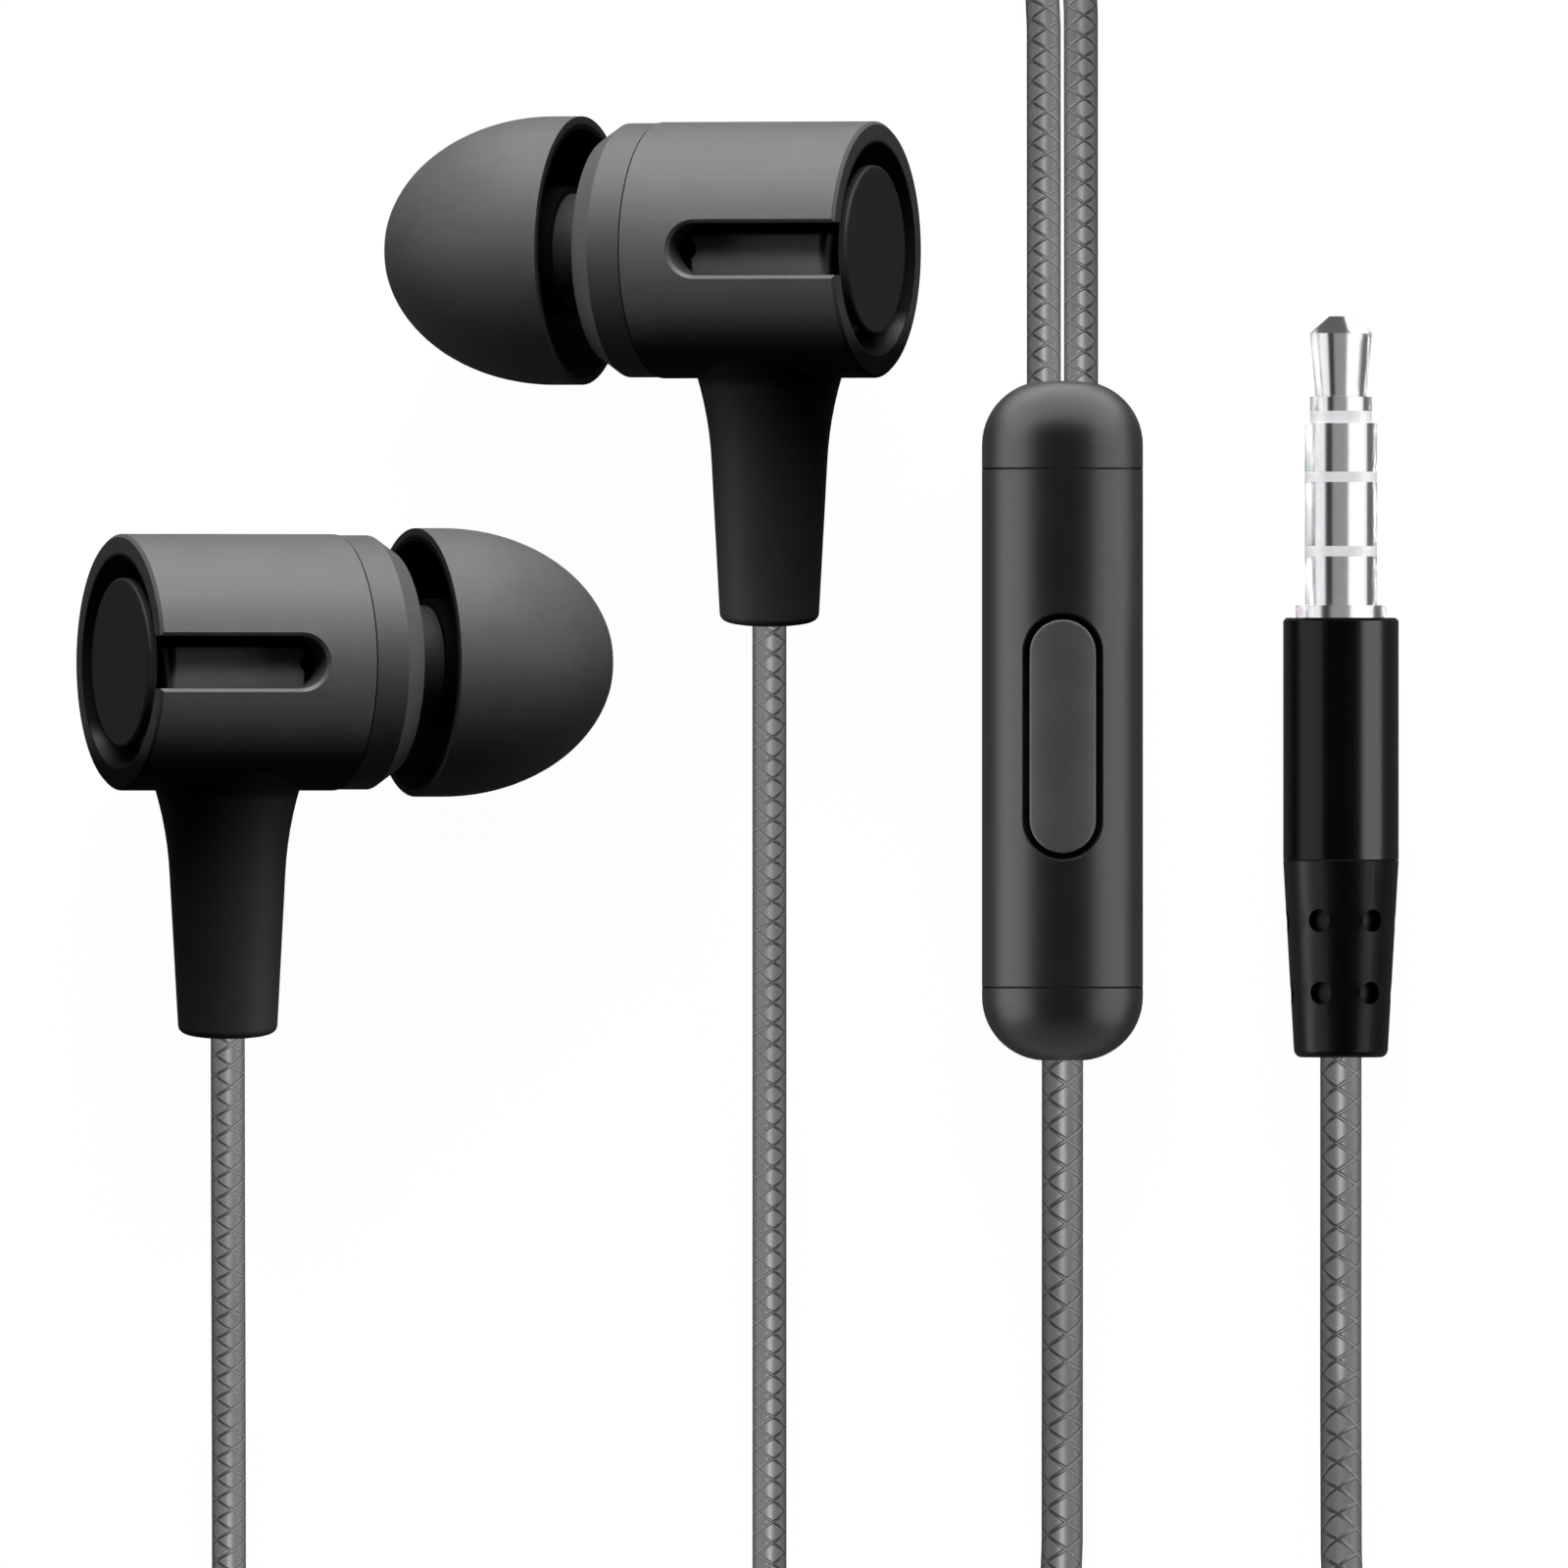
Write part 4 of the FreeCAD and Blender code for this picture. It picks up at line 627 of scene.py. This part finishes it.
MATERIALS = {
    "disc_plastic": grained("disc_black", grey(0.008), grey(0.011), 0.6, specular=0.3),
    "mesh_steel": grained("screen_steel", grey(0.12), grey(0.2), 0.35, metallic=1.0),
    "frame_metal": grained("driver_aluminium", grey(0.5), grey(0.58), 0.35, metallic=1.0),
    "yoke_steel": grained("yoke_steel", grey(0.42), grey(0.5), 0.3, metallic=1.0),
    "magnet_nickel": grained("magnet_nickel", (0.6, 0.58, 0.54), (0.68, 0.66, 0.62), 0.18, metallic=1.0),
    "voice_coil_copper": grained("coil_copper", (0.6, 0.25, 0.1), (0.75, 0.36, 0.16), 0.3, metallic=1.0),
    "film": grained("film_amber", (0.5, 0.33, 0.12), (0.62, 0.45, 0.2), 0.2),
    "board_green": grained("board_green", (0.01, 0.09, 0.03), (0.02, 0.14, 0.05), 0.35),
    "cord_rubber": grained("knot_rubber", grey(0.1), grey(0.12), 0.5),
    # The pod's satin, with painted shade in its seam grooves
    "pod_plastic": with_painted_shade(grained_parts("pod_satin", grey(0.006), grey(0.008), 0.38, grain=5000.0,
                                          strength=0.12), pod_painted_shade, POD_AXIS, (0, 0, math.pi / 2)),
    "button_plastic": grained("button_satin", grey(0.046), grey(0.056), 0.45, grain=5000.0, strength=0.12),
    "switch_metal": grained("switch_steel", grey(0.5), grey(0.6), 0.3, metallic=1.0),
    "plunger_plastic": grained("plunger_black", grey(0.02), grey(0.03), 0.4),
    "chip_plastic": grained("chip_black", grey(0.015), grey(0.02), 0.5),
    "gasket_rubber": grained("gasket_rubber", grey(0.006), grey(0.01), 0.8, specular=0.15),
    "plug_metal": grained("plug_nickel", grey(0.76), grey(0.82), 0.2, spread=0.04, grain=3000.0,
                          strength=0.05, metallic=1.0),
    "plug_insulator": grained("insulator_white", grey(0.78), grey(0.82), 0.3),
    "plug_plastic": grained("plug_gloss", grey(0.003), grey(0.004), 0.24, spread=0.04, grain=3000.0,
                            strength=0.06),
    "relief_rubber": grained("relief_satin", grey(0.004), grey(0.006), 0.34),
}
BUD_FINISHES = {(side, slot): bud_finish(side, slot) for side in ("left", "right") for slot in BUD_SLOTS}
GROOVES_TURNED = 0.033
BRANCH_CORD_FINISH = embossed_cord("branch_cord_embossed", 1.02, GROOVES_TURNED)
MAIN_CORD_FINISH = embossed_cord("main_cord_embossed", 1.338, GROOVES_TURNED)


def dress_cad_nodes():
    """Gives each CAD node the finish of its own slot."""
    slots = {part["node"]: part["material_slot"] for part in frame["record"]["subparts"]}
    for name, node in frame["nodes"].items():
        node.data.materials.clear()
        side = name.split("_")[0]
        node.data.materials.append(BUD_FINISHES.get((side, slots[name])) or MATERIALS[slots[name]])


dress_cad_nodes()


# Dark rings, not parts of the earphones, that stand in the open seams as painted shade and close them
# against the light from below

SEAM = 0.09
RING_SIDES = 96
RING_DEPTH = 0.15
RING_BELOW_SKIN = 0.015
RING_PLAY = 0.004
POD_TOP_SEAM = 5.26
POD_BOTTOM_SEAM = -19.85
PLUG_AXIS = (40.77, 0.0, 2.8)
PLUG_SEAM = -13.70
GRIP_RADIUS = 2.8


def seam_shade_ring(name, axis, seam_start, radius):
    """A dark ring in a seam across a piece that lies along Y, as painted shade: a closed band of four flat
    sides.

    A point is the axis plus r (cos a, 0, sin a), for a once round and r a little under the skin or
    nearly at the seam's floor.
    """
    low, high = seam_start + RING_PLAY, seam_start + SEAM - RING_PLAY
    outer, inner = radius - RING_BELOW_SKIN, radius - RING_BELOW_SKIN - RING_DEPTH
    profile = np.array([(outer, low), (inner, low), (inner, high), (outer, high)])
    angle = 2 * math.pi * np.arange(RING_SIDES) / RING_SIDES
    places = np.stack([
        axis[0] + profile[:, :1] * np.cos(angle), np.repeat(profile[:, 1:], RING_SIDES, axis=1),
        axis[2] + profile[:, :1] * np.sin(angle)], axis=-1) * MM
    ring = grid_piece(name, places, round_rows=True, round_columns=True, smooth=False)
    # The painted shade takes the gasket's near-black rubber
    ring.data.materials.append(MATERIALS["gasket_rubber"])
    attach(ring, "earphones")
    return ring


seam_shade_ring("pod_top_seam_shade_ring", POD_AXIS, POD_TOP_SEAM, POD_RADIUS)
seam_shade_ring("pod_bottom_seam_shade_ring", POD_AXIS, POD_BOTTOM_SEAM, POD_RADIUS)
PLUG_SEAM_SHADE_RING = seam_shade_ring("plug_seam_shade_ring", PLUG_AXIS, PLUG_SEAM, GRIP_RADIUS)


# Cords in place

BRANCH_SIDES = 20
MAIN_SIDES = 24


def nodes_of(*starts):
    """The CAD nodes whose names start so."""
    return [node for name, node in frame["nodes"].items() if name.startswith(starts)]


def lay_cord(name, points, thickness, sides, lit_side, finish, replaced):
    """Makes a cord with its finish, in place of the nodes it replaces, on the earphones' body."""
    piece, line, length = cord_tube(name, points, thickness, sides, lit_side)
    piece.data.materials.append(finish)
    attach(piece, "earphones")
    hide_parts(*replaced)
    return piece


CORDS = [
    lay_cord("left_branch_cord", left_cord_points(), BRANCH, BRANCH_SIDES, 1, BRANCH_CORD_FINISH,
             ["left_cord_at_earpiece", "left_cord_coil", "left_cord_at_pod"]),
    lay_cord("right_branch_cord", right_cord_points(), BRANCH, BRANCH_SIDES, -1, BRANCH_CORD_FINISH,
             ["right_cord_at_earpiece", "right_cord_coil", "right_cord_at_pod"]),
    lay_cord("main_cord", main_cord_points(), MAIN, MAIN_SIDES, 1, MAIN_CORD_FINISH,
             ["main_cord_at_pod", "main_cord_coil", "main_cord_at_plug"]),
]


# Floor, backdrop and light

FLOOR_HALF = 3000.0
FINE_ACROSS = np.linspace(-14, 14, 57)
FINE_ALONG = np.linspace(-16, 28, 89)
FLOOR_LEVEL = -0.04
DIP_PLACES = ((2.27, -4.08), (-2.27, 15.84))
DIP_REACH = 10.0
DIP_DEPTH = 1.8
PAPER_TO_LIGHT = 0.07
PAPER_TO_CAMERA = 0.35
FLOOR_GLOW = 1.085
GLOW_TO_CAMERA = 0.9
GLOW_IN_MIRRORS = 0.05
ROOM_LIGHT = 0.016
LAMP_DISTANCE = 0.5
LOWEST_MIRRORED = -10.0


def floor_grid():
    """The floor's grid of points, in mm: level, with a shallow round dip below each ear tip.

    A tip comes off along its nozzle, which leans down, so at the end of its way the bell reaches
    1.4 mm below the level that the set lies on. Depth of a dip = half its full depth times
    (1 + cos(pi r / reach)) within its reach, with r the distance from its middle, and 0 beyond.
    """
    across = np.concatenate([[-FLOOR_HALF], FINE_ACROSS, [FLOOR_HALF]])
    along = np.concatenate([[-FLOOR_HALF], FINE_ALONG, [FLOOR_HALF]])
    x, y = np.meshgrid(across, along)
    z = np.full(x.shape, FLOOR_LEVEL)
    for middle in DIP_PLACES:
        share = np.minimum(np.hypot(x - middle[0], y - middle[1]) / DIP_REACH, 1)
        z -= DIP_DEPTH / 2 * (1 + np.cos(np.pi * share))
    return np.stack([x, y, z], axis=-1)


def make_floor():
    """A pale floor that the camera sees as white, with the set's soft shadow on it."""
    floor = grid_piece("floor", floor_grid() * MM)
    material, tree, shader = new_material("floor_white")
    path = tree.nodes.new("ShaderNodeLightPath")
    paper = mix_colour(tree, path.outputs["Is Camera Ray"], (PAPER_TO_LIGHT,) * 3 + (1,),
                       (PAPER_TO_CAMERA,) * 3 + (1,))
    tree.links.new(paper, shader.inputs["Base Color"])
    shader.inputs["Roughness"].default_value = 0.9
    shader.inputs["Specular IOR Level"].default_value = 0.0
    glow = tree.nodes.new("ShaderNodeEmission")
    glow.inputs["Strength"].default_value = FLOOR_GLOW
    mirrored = math_node(tree, "MAXIMUM", path.outputs["Is Glossy Ray"], path.outputs["Is Transmission Ray"])
    to_camera = math_node(tree, "MULTIPLY", path.outputs["Is Camera Ray"], GLOW_TO_CAMERA)
    to_mirrors = math_node(tree, "MULTIPLY", mirrored, GLOW_IN_MIRRORS)
    share = math_node(tree, "ADD", to_camera, to_mirrors, clamp=True)
    mix = tree.nodes.new("ShaderNodeMixShader")
    tree.links.new(share, mix.inputs[0])
    tree.links.new(shader.outputs[0], mix.inputs[1])
    tree.links.new(glow.outputs[0], mix.inputs[2])
    output = [node for node in tree.nodes if node.type == "OUTPUT_MATERIAL"][0]
    tree.links.new(mix.outputs[0], output.inputs["Surface"])
    floor.data.materials.append(material)


def make_world():
    """White to the camera, and a dim grey room to everything else."""
    world = bpy.data.worlds.new("studio")
    scene.world = world
    world.use_nodes = True
    tree = world.node_tree
    tree.nodes.clear()
    room = tree.nodes.new("ShaderNodeBackground")
    room.inputs["Color"].default_value = (1, 1, 1, 1)
    room.inputs["Strength"].default_value = ROOM_LIGHT
    white = tree.nodes.new("ShaderNodeBackground")
    white.inputs["Strength"].default_value = 1.0
    white.inputs["Color"].default_value = (1, 1, 1, 1)
    path = tree.nodes.new("ShaderNodeLightPath")
    mix = tree.nodes.new("ShaderNodeMixShader")
    output = tree.nodes.new("ShaderNodeOutputWorld")
    tree.links.new(path.outputs["Is Camera Ray"], mix.inputs[0])
    tree.links.new(room.outputs[0], mix.inputs[1])
    tree.links.new(white.outputs[0], mix.inputs[2])
    tree.links.new(mix.outputs[0], output.inputs["Surface"])


def softbox(name, place, width, height, radiance):
    """An area light that faces the middle of the set."""
    data = bpy.data.lights.new(name, "AREA")
    data.shape = "RECTANGLE"
    data.size, data.size_y = width, height
    data.energy = radiance * math.pi * width * height
    lamp = bpy.data.objects.new(name, data)
    scene.collection.objects.link(lamp)
    lamp.location = place
    target = Vector((VIEW_CENTRE[0] * MM, VIEW_CENTRE[1] * MM, 0))
    lamp.rotation_euler = (target - lamp.location).to_track_quat("-Z", "Y").to_euler()
    return lamp


def studio_box(name, bearing, elevation, half_width, half_height, radiance, pieces=None, shading=None):
    """A softbox half a metre away, seen from the set under these angles, in degrees.

    Bearing 0 is to the right and 90 is beyond the top. With pieces named, it lights those alone, and
    only the shading pieces, or else the lit ones, keep its light off each other. One that reaches far
    below the floor isn't mirrored as a thing of its own, because the floor would hide it.
    """
    turn, rise = math.radians(bearing), math.radians(elevation)
    place = (VIEW_CENTRE[0] * MM + LAMP_DISTANCE * math.cos(turn) * math.cos(rise),
             VIEW_CENTRE[1] * MM + LAMP_DISTANCE * math.sin(turn) * math.cos(rise),
             LAMP_DISTANCE * math.sin(rise))
    width, height = (2 * LAMP_DISTANCE * math.tan(math.radians(half)) for half in (half_width, half_height))
    lamp = softbox(name, place, width, height, radiance)
    if pieces:
        light_only(lamp, pieces, shading or pieces)
    if elevation - half_height < LOWEST_MIRRORED:
        lamp.data.cycles.use_multiple_importance_sampling = False
    return lamp


def light_only(lamp, pieces, shading):
    """Keeps a lamp's light to some pieces, with shadows from the shading pieces alone."""
    lit = bpy.data.collections.new(lamp.name + "_pieces")
    for piece in pieces:
        lit.objects.link(piece)
    between = bpy.data.collections.new(lamp.name + "_shading")
    for piece in shading:
        between.objects.link(piece)
    lamp.light_linking.receiver_collection = lit
    lamp.light_linking.blocker_collection = between


def leave_dark(lamp, pieces):
    """Keeps a lamp's light off some pieces."""
    unlit = bpy.data.collections.new(lamp.name + "_left_out")
    for piece in pieces:
        unlit.objects.link(piece)
    for entry in unlit.collection_objects:
        entry.light_linking.link_state = "EXCLUDE"
    lamp.light_linking.receiver_collection = unlit


make_floor()
make_world()
METAL = nodes_of("plug_tip", "plug_ring", "plug_sleeve")
INSULATORS = nodes_of("plug_insulator")
HOUSING = nodes_of("plug_housing")
RELIEF = nodes_of("plug_strain_relief")
POD = nodes_of("pod_")
LEFT, RIGHT = nodes_of("left_"), nodes_of("right_")
LEFT_CASE = nodes_of("left_housing", "left_front_shell", "left_rear_chamber", "left_back_disc")
RIGHT_CASE = nodes_of("right_housing", "right_front_shell", "right_rear_chamber", "right_back_disc")
leave_dark(studio_box("floor_box", 90, 28, 35, 24, 8.0), list(frame["nodes"].values()) + CORDS)

# Each lamp: bearing, elevation, half width and half height in degrees, radiance, the pieces it lights
# and, where others do so, the pieces that shade them

LAMPS = (
    ("left_top_box", 90, 27, 20, 23, 17.0, LEFT),
    ("right_top_box", 90, 27, 20, 23, 17.0, RIGHT),
    ("left_low_box", 90, -20, 30, 17, 3.4, LEFT),
    ("right_low_box", 90, -20, 30, 17, 3.4, RIGHT),
    ("left_side_box", 22, 14, 22, 12, 3.3, LEFT),
    ("right_side_box", 158, 14, 22, 12, 3.3, RIGHT),
    ("left_shoulder_box", 15, -25, 40, 33, 0.85, nodes_of("left_front_shell"), LEFT_CASE),
    ("right_shoulder_box", 165, -25, 40, 33, 0.85, nodes_of("right_front_shell"), RIGHT_CASE),
    ("left_stem_box", 0, 14, 35, 12, 3.5, nodes_of("left_housing"), LEFT),
    ("right_stem_box", 180, 14, 35, 12, 3.5, nodes_of("right_housing"), RIGHT),
    ("left_slot_box", 90, 50, 20, 5, 7.0, nodes_of("left_rear_chamber"), LEFT_CASE),
    ("right_slot_box", 90, 50, 20, 5, 7.0, nodes_of("right_rear_chamber"), RIGHT_CASE),
    ("pod_top_box", 90, -2, 60, 45, 3.0, POD),
    ("pod_low_box", 270, 0, 60, 40, 0.5, POD),
    ("pod_left_box", 180, 14, 35, 28, 2.9, POD),
    ("pod_right_box", 0, 14, 35, 28, 2.4, POD),
    ("cord_over_box", 0, 88, 20, 12, 14.0, CORDS),
    ("cord_slope_box", 270, 46, 12, 24, 3.0, CORDS[:2]),
    ("cord_dim_box", 180, 8, 35, 20, 0.25, [CORDS[0], CORDS[2]]),
    ("cord_side_box", 0, 8, 35, 20, 1.9, [CORDS[0], CORDS[2]]),
    ("right_cord_dim_box", 0, 8, 35, 20, 0.25, [CORDS[1]]),
    ("right_cord_side_box", 180, 8, 35, 20, 1.3, [CORDS[1]]),
    ("housing_left_box", 180, 26, 35, 28, 0.6, HOUSING),
    ("housing_right_box", 0, 24, 35, 21, 2.7, HOUSING),
    ("relief_left_box", 180, 4, 35, 12, 2.2, RELIEF),
    ("relief_left_over_box", 180, 40, 30, 22, 0.5, RELIEF),
    ("relief_right_box", 0, 26, 35, 16, 0.9, RELIEF),
    ("metal_top_box", 90, 47, 35, 24, 1.0, METAL),
    ("metal_left_box", 180, 20, 35, 20, 1.02, METAL),
    ("metal_left_low_box", 180, -35, 35, 32, 1.06, METAL),
    ("metal_right_box", 0, 32, 35, 32, 1.3, METAL),
    ("metal_over_box", 0, 89, 30, 26, 0.3, METAL),
    ("metal_low_box", 0, -55, 35, 20, 1.15, METAL),
    ("metal_bevel_box", 62, -34, 11, 22, 3.0, METAL),
    ("insulator_over_box", 0, 88, 30, 26, 1.9, INSULATORS),
    ("insulator_left_box", 180, 8, 35, 24, 2.6, INSULATORS),
    ("insulator_right_box", 0, 8, 35, 24, 2.6, INSULATORS),
)
for lamp_setting in LAMPS:
    studio_box(*lamp_setting)

scene.view_settings.view_transform = "Standard"
